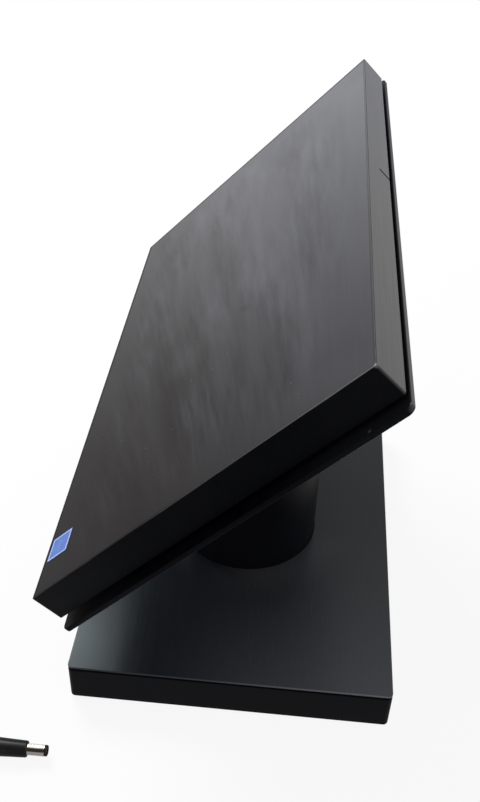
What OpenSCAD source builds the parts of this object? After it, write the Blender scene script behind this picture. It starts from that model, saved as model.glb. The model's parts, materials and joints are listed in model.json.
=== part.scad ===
/* [Base] */
// Width of the base slab, side to side
base_w = 268; // [230:1:320]
// Depth of the base slab, front to back
base_d = 190; // [170:1:240]
// Height of the base's top face above the table
base_h = 28.3; // [25:0.1:36]
// Corner radius of the base seen from above
base_corner_r = 3; // [1.5:0.5:6]
// Thickness of the top plate at its edge
base_top_t = 1; // [0.8:0.1:2.5]
// Height of the shadow line under the top plate
reveal_h = 1.2; // [0.5:0.1:1.5]
// Depth of the shadow line under the top plate
reveal_in = 0.7; // [0.3:0.1:1.5]
// How far the top plate reaches down inside the base body
lid_depth = 2.5; // [2:0.1:4]
// Wall of the base body
base_wall = 3; // [2:0.5:5]
// Thickness of the bottom sheet
bottom_t = 2; // [1.5:0.5:3]
// Radius of a rubber foot
foot_r = 9; // [6:0.5:13]
// Height of a rubber foot below the bottom sheet
foot_h = 1; // [0.8:0.1:3]
// Distance of a foot's centre from the two edges of the base
foot_inset = 28; // [22:1:40]

/* [Column] */
// Diameter of the column
column_d = 91.2; // [84:0.2:104]
// Wall of the column tube
column_wall = 3; // [2:0.5:5]
// Gap round the column in the base's top plate
column_gap = 0.4; // [0.3:0.1:1]
// Thickness of the flange under the column
flange_t = 5; // [4:0.5:7]
// How far the flange reaches past the column
flange_reach = 17; // [14:0.5:22]
// Thickness of the slanted cap
cap_t = 4; // [3:0.5:6]
// Depth of the cap's spigot inside the tube
spigot_h = 8; // [5:1:14]

/* [Tilt hinge] */
// Slope of the screen from horizontal, at rest
tilt = 46; // [40:1:50]
// Height of the hinge pin above the table
hinge_z = 167.2; // [155:0.1:190]
// Distance from the hinge pin to the back of the head
hinge_drop = 22; // [20:0.5:28]
// Distance from the hinge pin to the top of the column's cap
cap_drop = 22; // [21:0.5:30]
// Radius of the hinge pin
pin_r = 5; // [4:0.1:6]
// Radius of the barrel and of the yoke's ears
barrel_r = 11; // [9:0.5:13]
// Width of the barrel on the head's bracket
barrel_w = 32; // [28:1:34]
// Thickness of a yoke ear
ear_t = 9; // [7:0.5:9.5]
// Thickness of the yoke's foot plate
yoke_t = 5; // [4:0.5:6]
// Thickness of a friction washer
washer_t = 1.2; // [0.8:0.1:2]
// Thickness of the bracket plate
bracket_t = 4; // [3:0.5:5]
// Side of the square bracket plate
bracket_w = 100; // [92:1:110]
// Hole spacing of the bracket plate
bracket_pitch = 75; // [72:1:80]

/* [Head] */
// Width of the head's face
face_w = 350.4; // [346:0.1:380]
// Length of the head's face along its slope
face_l = 212.4; // [210:0.1:230]
// Thickness of the head housing
housing_t = 17.9; // [17.5:0.1:24]
// Corner radius of the housing
housing_r = 1.5; // [1.4:0.1:3]
// Wall of the housing
wall = 1.2; // [1:0.1:1.6]
// Back wall of the housing
back_wall = 1.5; // [1.2:0.1:2]
// How far the middle of the face lies up the slope from the hinge pin
head_up = 18.8; // [10:0.1:26]
// Gap between the housing and the back plate
gap_t = 2.9; // [2:0.1:4]
// Thickness of the back plate
plate_t = 2.8; // [2.5:0.1:4]
// How far the back plate stands out past each side of the housing
plate_over = 5.5; // [2:0.1:9]
// Corner radius of the back plate
plate_r = 3.5; // [2:0.5:8]

/* [Screen] */
// Thickness of the touch glass
glass_t = 2; // [1.6:0.1:2.4]
// Gap round the touch glass
glass_gap = 0.3; // [0.2:0.05:0.5]
// Thickness of the foam gasket
gasket_t = 0.6; // [0.4:0.1:1]
// Width of the ledge that carries the glass
ledge_w = 6; // [4:0.5:6.5]
// Thickness of the ledge
ledge_t = 1.5; // [1:0.1:1.8]
// Border from the face's side edges to the display panel
panel_side = 16.2; // [14:0.1:24]
// Border from the face's upper and lower edges to the display panel
panel_end = 12.7; // [11:0.1:20]
// Thickness of the display panel
lcd_t = 1.4; // [1:0.1:1.6]
// Thickness of the backlight unit
backlight_t = 2.4; // [2:0.1:2.8]
// Thickness of the panel frame's sheet
frame_t = 1; // [0.8:0.1:1.2]

/* [Power lead] */
// Radius of the plug's metal barrel
plug_r = 3.2; // [2.6:0.1:3.8]
// Length of the plug's barrel in front of its grip
plug_len = 11.4; // [9:0.1:14]
// Radius of the plug's grip
grip_r = 5.3; // [4.8:0.1:6.5]
// Length of the plug's grip
grip_len = 32; // [26:1:40]
// Length of the strain relief
relief_len = 22; // [20:1:30]
// Diameter of the lead
lead_d = 4.6; // [4:0.1:5]
// Gap between neighbouring turns of the coil
coil_gap = 0.6; // [0.5:0.1:1.2]
// Turns in each of the coil's two layers
coil_turns = 3.125; // [2.125:0.5:4.125]
// Radius of the coil's innermost turn
coil_inner_r = 18.4; // [17:0.2:24]

/* [Hidden] */
$fn = 96;
eps = 0.01;

// Clearances
slip = 0.3;
running = 0.05;
snug = 0.02;

// Levels of the base, upwards from the table
bottom_z = foot_h + bottom_t;
top_z = base_h - base_top_t;
reveal_z = top_z - reveal_h;
lid_z = reveal_z - lid_depth;
flange_screw_head_h = 3;
flange_room = 2.6;
flange_top_z = lid_z - flange_room - flange_screw_head_h;
flange_z = flange_top_z - flange_t;

// Places in the base
column_r = column_d / 2;
flange_r = column_r + flange_reach;
flange_pcd_r = column_r + flange_reach / 2;
flange_screws_n = 6;
flange_screw_r = 2.5;
flange_head_r = 4.5;
flange_screw_len = 8;
boss_r = 4.5;
base_boss_x = base_w / 2 - base_wall - boss_r;
base_boss_y = base_d / 2 - base_wall - boss_r;
base_screw_r = 1.6;
base_screw_head_r = 3.2;
base_screw_head_h = 1.6;
base_screw_bite = 2.5;
ballast_gap = 1;
ballast_notch = 2 * boss_r + ballast_gap;
foot_stem_r = 2.5;
foot_edge = 0.5;

// Levels of the head, along the face's normal from the hinge pin
plate_z = hinge_drop;
gap_z = plate_z + plate_t;
back_z = gap_z + gap_t;
floor_z = back_z + back_wall;
face_z = back_z + housing_t;
glass_z = face_z - glass_t;
gasket_z = glass_z - gasket_t;
ledge_z = gasket_z - ledge_t;
lcd_z = glass_z - lcd_t;
backlight_z = lcd_z - backlight_t;
frame_z = backlight_z - frame_t;

// Places in the head, from the middle of the face
cavity_w = face_w - 2 * wall;
cavity_l = face_l - 2 * wall;
glass_w = cavity_w - 2 * glass_gap;
glass_l = cavity_l - 2 * glass_gap;
mouth_w = cavity_w - 2 * ledge_w;
mouth_l = cavity_l - 2 * ledge_w;
panel_w = face_w - 2 * panel_side;
panel_l = face_l - 2 * panel_end;
pillar_r = 3.5;
pillar_gap = 1.5;
pillar_side_inset = 46.2;
pillar_side_y = face_l / 2 - pillar_side_inset;
pillar_spots = concat(
  [for (sx = [-1, 1], sy = [-1, 1]) [sx * (panel_w / 2 + pillar_r + pillar_gap), sy * pillar_side_y]],
  [for (sy = [-1, 1]) [0, sy * (panel_l / 2 + pillar_r + pillar_gap)]]
);
pillar_bore_r = 1.3;
frame_w = panel_w + 4 * pillar_r + 2 * pillar_gap;
frame_l = panel_l + 4 * pillar_r + 2 * pillar_gap;
frame_rail = [45, 35];
vent_edge = 26;
vent_slot = [2.4, 12];
vent_step = 8;
vent_count = 27;
small_screw_r = 1.25;
small_head_r = 2.6;
small_head_h = 1.3;
small_screw_len = 4;

// Bracket, yoke and their screws
bracket_screw_r = 2;
bracket_head_r = 3.5;
bracket_head_h = 2.6;
nut_h = 3.2;
nut_r = 3.9;
rib_t = 6;
rib_root = 2;
rib_front = 15;
rib_back = 33;
spacer_margin = 18;
spacer_w = bracket_pitch + 2 * spacer_margin;
washer_gap = 0.4;
ear_in = barrel_w / 2 + washer_t + washer_gap;
ear_out = ear_in + ear_t;
yoke_margin = 3.4;
yoke_x = ear_out + yoke_margin;
yoke_front = 30;
yoke_back = 12;
ear_set = 2;
yoke_screw_r = 2.5;
yoke_head_r = 4.3;
yoke_head_h = 2.8;
yoke_head_gap = 1;
yoke_screw_x = ear_in - yoke_head_r - yoke_head_gap;
yoke_screw_edge = 6;
yoke_spots = [
  for (sx = [-1, 1], y = [-yoke_front + yoke_screw_edge, yoke_back - yoke_screw_edge]) [sx * yoke_screw_x, y]
];
pin_head_r = 8.5;
pin_head_t = 4;
cone_t = 1;
pin_nut_t = 4.6;
pin_nut_r = 8.6;
washer_r = barrel_r - 1;

// Main board and what it carries
board = [180, 110];
board_edge = 9;
board_at = [panel_w / 2 - board.x / 2 - board_edge, 20];
board_t = 1.6;
board_room = 2.2;
board_z = frame_z - board_room - board_t;
post_r = 3;
post_inset = 5;
post_spots = [
  for (sx = [-1, 1], sy = [-1, 1])
    board_at + [sx * (board.x / 2 - post_inset), sy * (board.y / 2 - post_inset)]
];
drive = [80, 22];
drive_shift = [-35, 39];
drive_at = board_at + drive_shift;
drive_t = 2.4;
memory = [66, 30];
memory_shift = [-48, -30];
memory_at = board_at + memory_shift;
memory_t = 3;
memory_chip_t = 1;
sink_gap = 9;
sink_edge = 8;
sink_from = sink_gap + max(memory_at.x + memory.x / 2, bracket_pitch / 2 + nut_r);
sink_to = board_at.x + board.x / 2 - sink_edge;
sink = [sink_to - sink_from, 58];
sink_at = [(sink_from + sink_to) / 2, board_at.y - 10];
sink_base_t = 1.6;
sink_floor_gap = 0.5;
fin_t = 1.2;
fin_step = 4;
speaker = [70, 20];
speaker_t = 7;
speaker_x = 120;
speaker_edge = 3;
cone_r = 8;

// Sockets and the button on the left side
io_len = 92;
io_depth = 22;
io_t = 1.2;
io_lift = 1;
io_z = floor_z + io_lift;
io_top_z = io_z + io_t;
io_x = -cavity_w / 2 + slip;
notch_len = io_len + 8;
side_x = -face_w / 2;
jack_y = -32;
jack = [13, 10, 9];
jack_bore_r = plug_r + 0.15;
jack_bore_depth = 10;
jack_pin_r = 0.9;
usb_ys = [-10, 8];
usb = [14, 13.2, 6.6];
usb_wall = 0.4;
usb_tongue_t = 1.8;
button_y = 32;
button_len = 12;
button_thick = 4.4;
button_proud = 0.6;
button_flange = 1;
button_flange_t = 1;
button_travel = 0.8;
button_z = io_top_z + 3.6;
button_neck = 1.2;
switch = [5, 6.5, 5.4];

// Label
label = [15.6, 15.2];
label_t = 0.2;
label_side = 29.8;
label_up = 10.6;

// Route of the lead on the table: the plug's tip, its turn, and the middle of the coil
plug_tip = [174.4, -98.3];
plug_turn = 0.7;
lead_rest = 0.1;
plug_z = grip_r + lead_rest;
tip_ring_len = 1.6;
barrel_bore_r = plug_r - 0.7;
barrel_sunk = 4;
relief_r = 4.1;
relief_end_r = lead_d / 2 + 0.7;
relief_sunk = 3;
coil_step = lead_d + coil_gap;
coil_outer_r = coil_inner_r + coil_step * coil_turns;
tie_t = 1.2;
coil_z = lead_rest + tie_t + slip / 2 + lead_d / 2;
coil_sides = 6;
coil_rings = 24;
run_sides = 8;
relief_s = plug_len + grip_len + relief_len;
relief_end = plug_tip + relief_s * [sin(plug_turn), -cos(plug_turn)];
run_len = 30;
coil_start = relief_end + [run_len * sin(plug_turn), -run_len];
coil_at = [coil_start.x - coil_outer_r, coil_start.y];
tie_w = 10;
tie_turn = 180;
tail_len = 26;
socket_r = 5.4;
socket_len = 34;
socket_neck_len = 10;
socket_bore_r = plug_r + 0.15;
socket_bore_depth = 11;

steel = "silver";
black = "#17181a";
charcoal = "#2b2d30";
grey = "#4b4d50";
green = "#24553a";

// A rectangle with round corners, drawn from straight and round stretches
module rounded_rect(w, l, r) {
  square([w - 2 * r, l], center = true);
  square([w, l - 2 * r], center = true);
  for (sx = [-1, 1], sy = [-1, 1])
    translate([sx * (w / 2 - r), sy * (l / 2 - r)])
      circle(r);
}

module slab(w, l, r, z0, z1) {
  translate([0, 0, z0])
    linear_extrude(z1 - z0)
      rounded_rect(w, l, r);
}

module block(size, z0, z1) {
  translate([-size.x / 2, -size.y / 2, z0])
    cube([size.x, size.y, z1 - z0]);
}

module rod(r, z0, z1) {
  translate([0, 0, z0])
    cylinder(r = r, h = z1 - z0);
}

// The head's frame: the pin's axis is X, and Z is the face's normal
module at_hinge() {
  translate([0, 0, hinge_z])
    rotate([tilt, 0, 0])
      children();
}

// The same frame with its origin under the middle of the face
module at_face() {
  at_hinge()
    translate([0, head_up, 0])
      children();
}

// A rod along X
module cross_rod(r, x0, x1) {
  translate([x0, 0, 0])
    rotate([0, 90, 0])
      cylinder(r = r, h = x1 - x0);
}

// A flat outline of the Y and Z plane, given its thickness along X
module cross_plate(x0, x1) {
  translate([x0, 0, 0])
    rotate([90, 0, 90])
      linear_extrude(x1 - x0)
        children();
}

module countersunk(r, head_r, head_h, len) {
  cylinder(r1 = head_r, r2 = r, h = head_h);
  cylinder(r = r, h = len);
}

module cap_screw(r, head_r, head_h, len) {
  difference() {
    union() {
      rod(head_r, 0, head_h);
      rod(r, -len, eps);
    }
    translate([0, 0, head_h * 0.4])
      cylinder(r = r * 0.8, h = head_h, $fn = 6);
  }
}

module at_each(spots) {
  for (p = spots)
    translate([p.x, p.y, 0])
      children();
}

base_boss_spots = [for (sx = [-1, 1], sy = [-1, 1]) [sx * base_boss_x, sy * base_boss_y]];
foot_spots = [
  for (sx = [-1, 1], sy = [-1, 1]) [sx * (base_w / 2 - foot_inset), sy * (base_d / 2 - foot_inset)]
];
bracket_spots = [for (sx = [-1, 1], sy = [-1, 1]) [sx, sy] * bracket_pitch / 2];

module base_top() {
  color(charcoal)
    difference() {
      union() {
        slab(base_w, base_d, base_corner_r, top_z, base_h);
        slab(base_w - 2 * reveal_in, base_d - 2 * reveal_in, base_corner_r - reveal_in, reveal_z, top_z);
        block([base_w - 2 * (base_wall + slip), base_d - 2 * (base_wall + slip)], lid_z, top_z);
      }
      rod(column_r + column_gap, lid_z - 1, base_h + 1);
      at_each(base_boss_spots)
        rod(base_screw_r + snug, lid_z - 1, lid_z + base_screw_bite);
    }
}

module base_body() {
  color(black)
    difference() {
      union() {
        difference() {
          slab(base_w, base_d, base_corner_r, foot_h, reveal_z);
          block([base_w - 2 * base_wall, base_d - 2 * base_wall], foot_h - 1, reveal_z + 1);
        }
        at_each(base_boss_spots)
          block([2 * boss_r, 2 * boss_r], bottom_z, lid_z);
      }
      at_each(base_boss_spots)
        rod(base_screw_r + snug, bottom_z - 1, lid_z + 1);
    }
}

module ballast_plate() {
  color(grey)
    difference() {
      block([base_w - 2 * (base_wall + ballast_gap), base_d - 2 * (base_wall + ballast_gap)], bottom_z, flange_z);
      at_each(base_boss_spots)
        block([2 * ballast_notch, 2 * ballast_notch], bottom_z - 1, flange_z + 1);
      for (i = [0 : flange_screws_n - 1])
        rotate(i * 360 / flange_screws_n)
          translate([flange_pcd_r, 0, 0])
            rod(flange_screw_r + snug, flange_top_z - flange_screw_len - 1, flange_z + 1);
    }
}

module base_bottom() {
  color(charcoal)
    difference() {
      block([base_w - 2 * (base_wall + slip), base_d - 2 * (base_wall + slip)], foot_h, bottom_z);
      at_each(base_boss_spots)
        translate([0, 0, foot_h - eps])
          countersunk(base_screw_r + snug, base_screw_head_r + running, base_screw_head_h, bottom_t + 1);
      at_each(foot_spots)
        rod(foot_stem_r + snug, foot_h - 1, bottom_z + 1);
    }
}

module rubber_feet() {
  color("#111111")
    at_each(foot_spots)
      rotate_extrude()
        polygon([
          [0, 0], [foot_r - foot_edge, 0], [foot_r, foot_edge], [foot_r, foot_h],
          [foot_stem_r, foot_h], [foot_stem_r, bottom_z], [0, bottom_z]
        ]);
}

module base_screws() {
  color(steel)
    at_each(base_boss_spots)
      translate([0, 0, foot_h])
        countersunk(
          base_screw_r, base_screw_head_r, base_screw_head_h, lid_z + base_screw_bite - 0.5 - foot_h
        );
}

module column_flange() {
  color(grey)
    difference() {
      rod(flange_r, flange_z, flange_top_z);
      for (i = [0 : flange_screws_n - 1])
        rotate(i * 360 / flange_screws_n)
          translate([flange_pcd_r, 0, 0])
            rod(flange_screw_r + snug, flange_z - 1, flange_top_z + 1);
    }
}

module flange_screws() {
  color(steel)
    for (i = [0 : flange_screws_n - 1])
      rotate(i * 360 / flange_screws_n)
        translate([flange_pcd_r, 0, flange_top_z])
          cap_screw(flange_screw_r, flange_head_r, flange_screw_head_h, flange_screw_len);
}

// Everything below a plane parallel to the screen
module below_slant(z) {
  reach = 4 * column_d;
  at_hinge()
    translate([-reach, -reach, z - 2 * reach])
      cube(2 * reach);
}

module column_tube() {
  color(black)
    intersection() {
      difference() {
        rod(column_r, flange_top_z, hinge_z + column_d);
        rod(column_r - column_wall, flange_top_z - 1, hinge_z + column_d + 1);
      }
      below_slant(-cap_drop - cap_t);
    }
}

module column_cap() {
  color(black)
    difference() {
      union() {
        difference() {
          intersection() {
            rod(column_r, flange_top_z, hinge_z + column_d);
            below_slant(-cap_drop);
          }
          below_slant(-cap_drop - cap_t);
        }
        difference() {
          intersection() {
            rod(column_r - column_wall - slip, flange_top_z, hinge_z + column_d);
            below_slant(-cap_drop - cap_t + eps);
          }
          below_slant(-cap_drop - cap_t - spigot_h);
        }
      }
      at_hinge()
        at_each(yoke_spots)
          rod(yoke_screw_r + snug, -cap_drop - cap_t - spigot_h - 1, -cap_drop + 1);
    }
}

module ear_outline() {
  circle(barrel_r);
  polygon([
    [-barrel_r, 0], [barrel_r, 0], [yoke_back, -cap_drop + yoke_t], [-yoke_front + ear_set, -cap_drop + yoke_t]
  ]);
}

module hinge_yoke() {
  color(grey)
    at_hinge()
      difference() {
        union() {
          translate([-yoke_x, -yoke_front, -cap_drop])
            cube([2 * yoke_x, yoke_front + yoke_back, yoke_t]);
          for (s = [-1, 1])
            mirror([s < 0 ? 1 : 0, 0, 0])
              cross_plate(ear_in, ear_out)
                ear_outline();
        }
        cross_rod(pin_r + snug, -yoke_x - 1, yoke_x + 1);
        at_each(yoke_spots)
          rod(yoke_screw_r + snug, -cap_drop - 1, -cap_drop + yoke_t + 1);
      }
}

module yoke_screws() {
  color(steel)
    at_hinge()
      at_each(yoke_spots)
        translate([0, 0, -cap_drop + yoke_t])
          cap_screw(yoke_screw_r, yoke_head_r, yoke_head_h, yoke_t + cap_t + spigot_h - 1);
}

module hinge_pin() {
  color(steel)
    at_hinge() {
      cross_rod(pin_r, -ear_out - 2 * cone_t - pin_nut_t - 1, ear_out + eps);
      cross_rod(pin_head_r, ear_out, ear_out + pin_head_t);
    }
}

module hinge_nut() {
  color(steel)
    at_hinge()
      difference() {
        translate([-ear_out - 2 * cone_t - pin_nut_t, 0, 0])
          rotate([0, 90, 0])
            cylinder(r = pin_nut_r, h = pin_nut_t, $fn = 6);
        cross_rod(pin_r + snug, -ear_out - 2 * cone_t - pin_nut_t - 1, -ear_out);
      }
}

module friction_washers() {
  color("#b58a3c")
    at_hinge()
      for (s = [-1, 1])
        mirror([s < 0 ? 1 : 0, 0, 0])
          difference() {
            cross_rod(washer_r, ear_in - washer_gap / 4 - washer_t, ear_in - washer_gap / 4);
            cross_rod(pin_r + snug, ear_in - washer_gap - 2 * washer_t, ear_in + washer_t);
          }
}

// Two dished washers, set back to back under the nut
module spring_washers() {
  dish = cone_t * 0.6;
  color(steel)
    at_hinge()
      translate([-ear_out - cone_t, 0, 0])
        rotate([0, 90, 0])
          for (s = [0, 1])
            mirror([0, 0, s])
              rotate_extrude()
                polygon([
                  [pin_r + snug, 0.02], [washer_r - 1, dish - 0.2], [washer_r - 1, cone_t],
                  [pin_r + snug, dish]
                ]);
}

module bracket_rib() {
  polygon([
    [-barrel_r + rib_root, rib_root], [-barrel_r - rib_front, hinge_drop - bracket_t],
    [barrel_r + rib_back, hinge_drop - bracket_t], [barrel_r - rib_root, rib_root]
  ]);
}

module hinge_bracket() {
  color(charcoal)
    at_hinge()
      difference() {
        union() {
          translate([0, head_up, 0])
            slab(bracket_w, bracket_w, 6, hinge_drop - bracket_t, hinge_drop);
          cross_rod(barrel_r, -barrel_w / 2, barrel_w / 2);
          translate([-barrel_w / 2, -barrel_r + rib_root, 0])
            cube([barrel_w, 2 * (barrel_r - rib_root), hinge_drop - bracket_t]);
          for (x = [-barrel_w / 2, barrel_w / 2 - rib_t])
            cross_plate(x, x + rib_t)
              bracket_rib();
        }
        cross_rod(pin_r + running, -barrel_w, barrel_w);
        translate([0, head_up, 0])
          at_each(bracket_spots)
            rod(bracket_screw_r + snug, hinge_drop - bracket_t - 1, hinge_drop + 1);
      }
}

module bracket_screws() {
  color(steel)
    at_face()
      at_each(bracket_spots)
        translate([0, 0, hinge_drop - bracket_t])
          mirror([0, 0, 1])
            cap_screw(bracket_screw_r, bracket_head_r, bracket_head_h, floor_z + nut_h - hinge_drop + bracket_t);
}

module bracket_nuts() {
  color(steel)
    at_face()
      at_each(bracket_spots)
        difference() {
          translate([0, 0, floor_z])
            cylinder(r = nut_r, h = nut_h, $fn = 6);
          rod(bracket_screw_r + snug, floor_z - 1, floor_z + nut_h + 1);
        }
}

module rear_plate() {
  color(charcoal)
    at_face()
      difference() {
        slab(face_w + 2 * plate_over, face_l, plate_r, plate_z, gap_z);
        at_each(bracket_spots)
          rod(bracket_screw_r + snug, plate_z - 1, gap_z + 1);
        at_each(pillar_spots)
          translate([0, 0, plate_z - eps])
            countersunk(small_screw_r + snug, small_head_r + running, small_head_h, plate_t + 1);
      }
}

// Square pad between the back plate and the housing, under the bracket's screws
module mounting_spacer() {
  color(black)
    at_face()
      difference() {
        slab(spacer_w, spacer_w, 8, gap_z, back_z);
        at_each(bracket_spots)
          rod(bracket_screw_r + snug, gap_z - 1, back_z + 1);
      }
}

module standoffs() {
  color(black)
    at_face()
      at_each(pillar_spots)
        difference() {
          rod(pillar_r + 0.5, gap_z, back_z);
          rod(small_screw_r + snug, gap_z - 1, back_z + 1);
        }
}

module rear_screws() {
  color(steel)
    at_face()
      at_each(pillar_spots)
        translate([0, 0, plate_z])
          countersunk(small_screw_r, small_head_r, small_head_h, floor_z + small_screw_len - plate_z);
}

module side_cutouts() {
  cut = 3 * wall;
  translate([side_x, jack_y, io_top_z + jack.z / 2])
    cube([cut, jack.y + slip, jack.z + slip], center = true);
  for (y = usb_ys)
    translate([side_x, y, io_top_z + usb.z / 2])
      cube([cut, usb.y + slip, usb.z + slip], center = true);
  translate([side_x, button_y, button_z])
    rotate([90, 0, 90])
      translate([0, 0, -cut / 2])
        linear_extrude(cut)
          rounded_rect(button_len + slip, button_thick + slip, (button_thick + slip) / 2 - eps);
}

// Rows of slots that let warm air out into the gap
module vents() {
  middle = (vent_count - 1) / 2;
  for (i = [0 : vent_count - 1], sy = [-1, 1])
    if (i != middle)
      translate([(i - middle) * vent_step, sy * (cavity_l / 2 - vent_edge), back_z - 1])
        translate([-vent_slot.x / 2, -vent_slot.y / 2, 0])
          cube([vent_slot.x, vent_slot.y, back_wall + 2]);
}

module head_housing() {
  seam = [1.1, 1.4, 7.7];
  seam_x = -16;
  inner_r = housing_r - wall + 0.2;
  color(charcoal)
    at_face()
      difference() {
        union() {
          difference() {
            slab(face_w, face_l, housing_r, back_z, face_z);
            slab(cavity_w, cavity_l, inner_r, floor_z, ledge_z);
            slab(mouth_w, mouth_l, inner_r, ledge_z - 1, face_z);
            slab(cavity_w, cavity_l, inner_r, gasket_z, face_z + 1);
          }
          at_each(pillar_spots)
            rod(pillar_r, floor_z - eps, frame_z);
          at_each(post_spots)
            rod(post_r, floor_z - eps, board_z);
          for (sy = [-1, 1])
            translate([io_x + io_depth / 2, sy * (io_len / 2 - 4), 0])
              rod(2.5, floor_z - eps, io_z);
        }
        at_each(pillar_spots)
          rod(pillar_bore_r, back_z - 1, frame_z + 1);
        at_each(post_spots)
          rod(pillar_bore_r, floor_z + 0.5, board_z + 1);
        at_each(bracket_spots)
          rod(bracket_screw_r + snug, back_z - 1, floor_z + 1);
        side_cutouts();
        vents();
        translate([seam_x, face_l / 2, back_z + seam.z / 2])
          cube(seam + [0, 0, eps], center = true);
      }
}

module glass_gasket() {
  band = ledge_w - 1.5;
  color(black)
    at_face()
      difference() {
        slab(glass_w, glass_l, 1, gasket_z, glass_z);
        slab(glass_w - 2 * band, glass_l - 2 * band, 1, gasket_z - 1, glass_z + 1);
      }
}

module touch_glass() {
  color("#1d1e20")
    at_face()
      slab(glass_w, glass_l, housing_r - wall, glass_z, face_z);
}

module lcd_panel() {
  color("#0e0f12")
    at_face()
      block([panel_w, panel_l], lcd_z, glass_z);
}

module backlight_unit() {
  color("#d8d8d4")
    at_face()
      block([panel_w, panel_l], backlight_z, lcd_z);
}

// Sheet that carries the panel, cut away beside the sockets
module panel_frame() {
  notch_x = io_x + io_depth - 7;
  color(steel)
    at_face()
      difference() {
        slab(frame_w, frame_l, 4, frame_z, backlight_z);
        at_each(pillar_spots)
          rod(small_screw_r + snug, frame_z - 1, backlight_z + 1);
        translate([0, 0, frame_z - 1])
          linear_extrude(frame_t + 2)
            rounded_rect(panel_w - 2 * frame_rail.x, panel_l - 2 * frame_rail.y, 10);
        translate([-face_w, -notch_len / 2, frame_z - 1])
          cube([face_w + notch_x, notch_len, frame_t + 2]);
      }
}

module panel_screws() {
  color(steel)
    at_face()
      at_each(pillar_spots)
        translate([0, 0, backlight_z])
          cap_screw(small_screw_r, small_head_r, small_head_h, small_screw_len);
}

module main_board() {
  color(green)
    at_face()
      difference() {
        translate([board_at.x, board_at.y, 0])
          block(board, board_z, board_z + board_t);
        at_each(post_spots)
          rod(pillar_bore_r, board_z - 1, board_z + board_t + 1);
      }
}

module board_screws() {
  color(steel)
    at_face()
      at_each(post_spots)
        translate([0, 0, board_z + board_t])
          cap_screw(small_screw_r, small_head_r, small_head_h, small_screw_len);
}

module heat_sink() {
  fins = floor((sink.x - fin_t) / fin_step);
  color("#9a9da0")
    at_face()
      translate([sink_at.x, sink_at.y, 0]) {
        block(sink, board_z - sink_base_t, board_z);
        for (i = [0 : fins])
          translate([-sink.x / 2 + i * fin_step, -sink.y / 2, floor_z + sink_floor_gap])
            cube([fin_t, sink.y, board_z - floor_z - sink_floor_gap - sink_base_t / 2]);
      }
}

module storage_drive() {
  color("#1f2a44")
    at_face()
      translate([drive_at.x, drive_at.y, 0])
        block(drive, board_z - drive_t, board_z);
}

// Module card with its chips in a row
module memory_module() {
  color(green)
    at_face()
      translate([memory_at.x, memory_at.y, 0]) {
        block(memory, board_z - memory_t + memory_chip_t, board_z);
        for (i = [-1.5 : 1.5])
          translate([i * memory.x / 4, 0, 0])
            block([memory.x / 5, memory.y / 2], board_z - memory_t, board_z - memory_t + memory_chip_t + eps);
      }
}

module speakers() {
  y = -cavity_l / 2 + speaker_edge + speaker.y / 2;
  color(black)
    at_face()
      for (s = [-1, 1])
        translate([s * speaker_x, y, 0])
          difference() {
            slab(speaker.x, speaker.y, 3, floor_z, floor_z + speaker_t);
            for (dx = [-1, 1])
              translate([dx * speaker.x / 4, 0, floor_z + speaker_t - 1.5])
                cylinder(r1 = cone_r * 0.5, r2 = cone_r, h = 1.5 + eps);
          }
}

module io_board() {
  color(green)
    at_face()
      translate([io_x, -io_len / 2, io_z])
        cube([io_depth, io_len, io_t]);
}

module dc_jack() {
  x = side_x + wall / 4;
  color(black)
    at_face()
      translate([x, jack_y, io_top_z]) {
        difference() {
          translate([0, -jack.y / 2, 0])
            cube(jack);
          translate([0, 0, jack.z / 2])
            cross_rod(jack_bore_r, -1, jack_bore_depth);
        }
        translate([0, 0, jack.z / 2])
          cross_rod(jack_pin_r, 2, jack_bore_depth + 1);
      }
}

module usb_sockets() {
  x = side_x + wall / 4;
  color(steel)
    at_face()
      for (y = usb_ys)
        translate([x, y - usb.y / 2, io_top_z]) {
          difference() {
            cube(usb);
            translate([-1, usb_wall, usb_wall])
              cube([usb.x - 1, usb.y - 2 * usb_wall, usb.z - 2 * usb_wall]);
          }
          translate([2, 1.1, usb.z - usb_wall - usb_tongue_t - 0.6])
            cube([usb.x - 3, usb.y - 2.2, usb_tongue_t]);
        }
}

module button_switch() {
  x = side_x + wall + button_flange_t + button_neck + button_travel + 0.3;
  color(black)
    at_face()
      translate([x, button_y - switch.y / 2, io_top_z])
        cube(switch);
}

// Cap through the side wall, a flange that keeps it in, and a neck that meets the switch
module power_button() {
  color(grey)
    at_face()
      translate([side_x, button_y, button_z])
        rotate([90, 0, 90]) {
          translate([0, 0, -button_proud])
            linear_extrude(button_proud + wall + slip)
              rounded_rect(button_len, button_thick, button_thick / 2 - eps);
          translate([0, 0, wall + slip])
            linear_extrude(button_flange_t - slip)
              square([button_len + 2 * button_flange, button_thick + button_flange], center = true);
          translate([0, 0, wall + button_flange_t - eps])
            cylinder(r = 1.5, h = button_neck + 0.1);
        }
}

module badge_label() {
  color("#1f62d8")
    at_face()
      translate([face_w / 2 - label_side, -face_l / 2 + label_up, 0])
        slab(label.x, label.y, 0.8, face_z, face_z + label_t);
}

// The plug's frame: Z runs from its tip back along the lead
module at_plug() {
  translate([plug_tip.x, plug_tip.y, plug_z])
    rotate([0, 0, plug_turn])
      rotate([90, 0, 0])
        children();
}

module plug_barrel() {
  color(steel)
    at_plug()
      difference() {
        rod(plug_r, tip_ring_len, plug_len + barrel_sunk);
        rod(barrel_bore_r, tip_ring_len - 1, plug_len + barrel_sunk - 1);
      }
}

module plug_tip_ring() {
  color(black)
    at_plug()
      difference() {
        rod(plug_r - 0.1, 0, tip_ring_len);
        rod(barrel_bore_r, -1, tip_ring_len + 1);
      }
}

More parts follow.
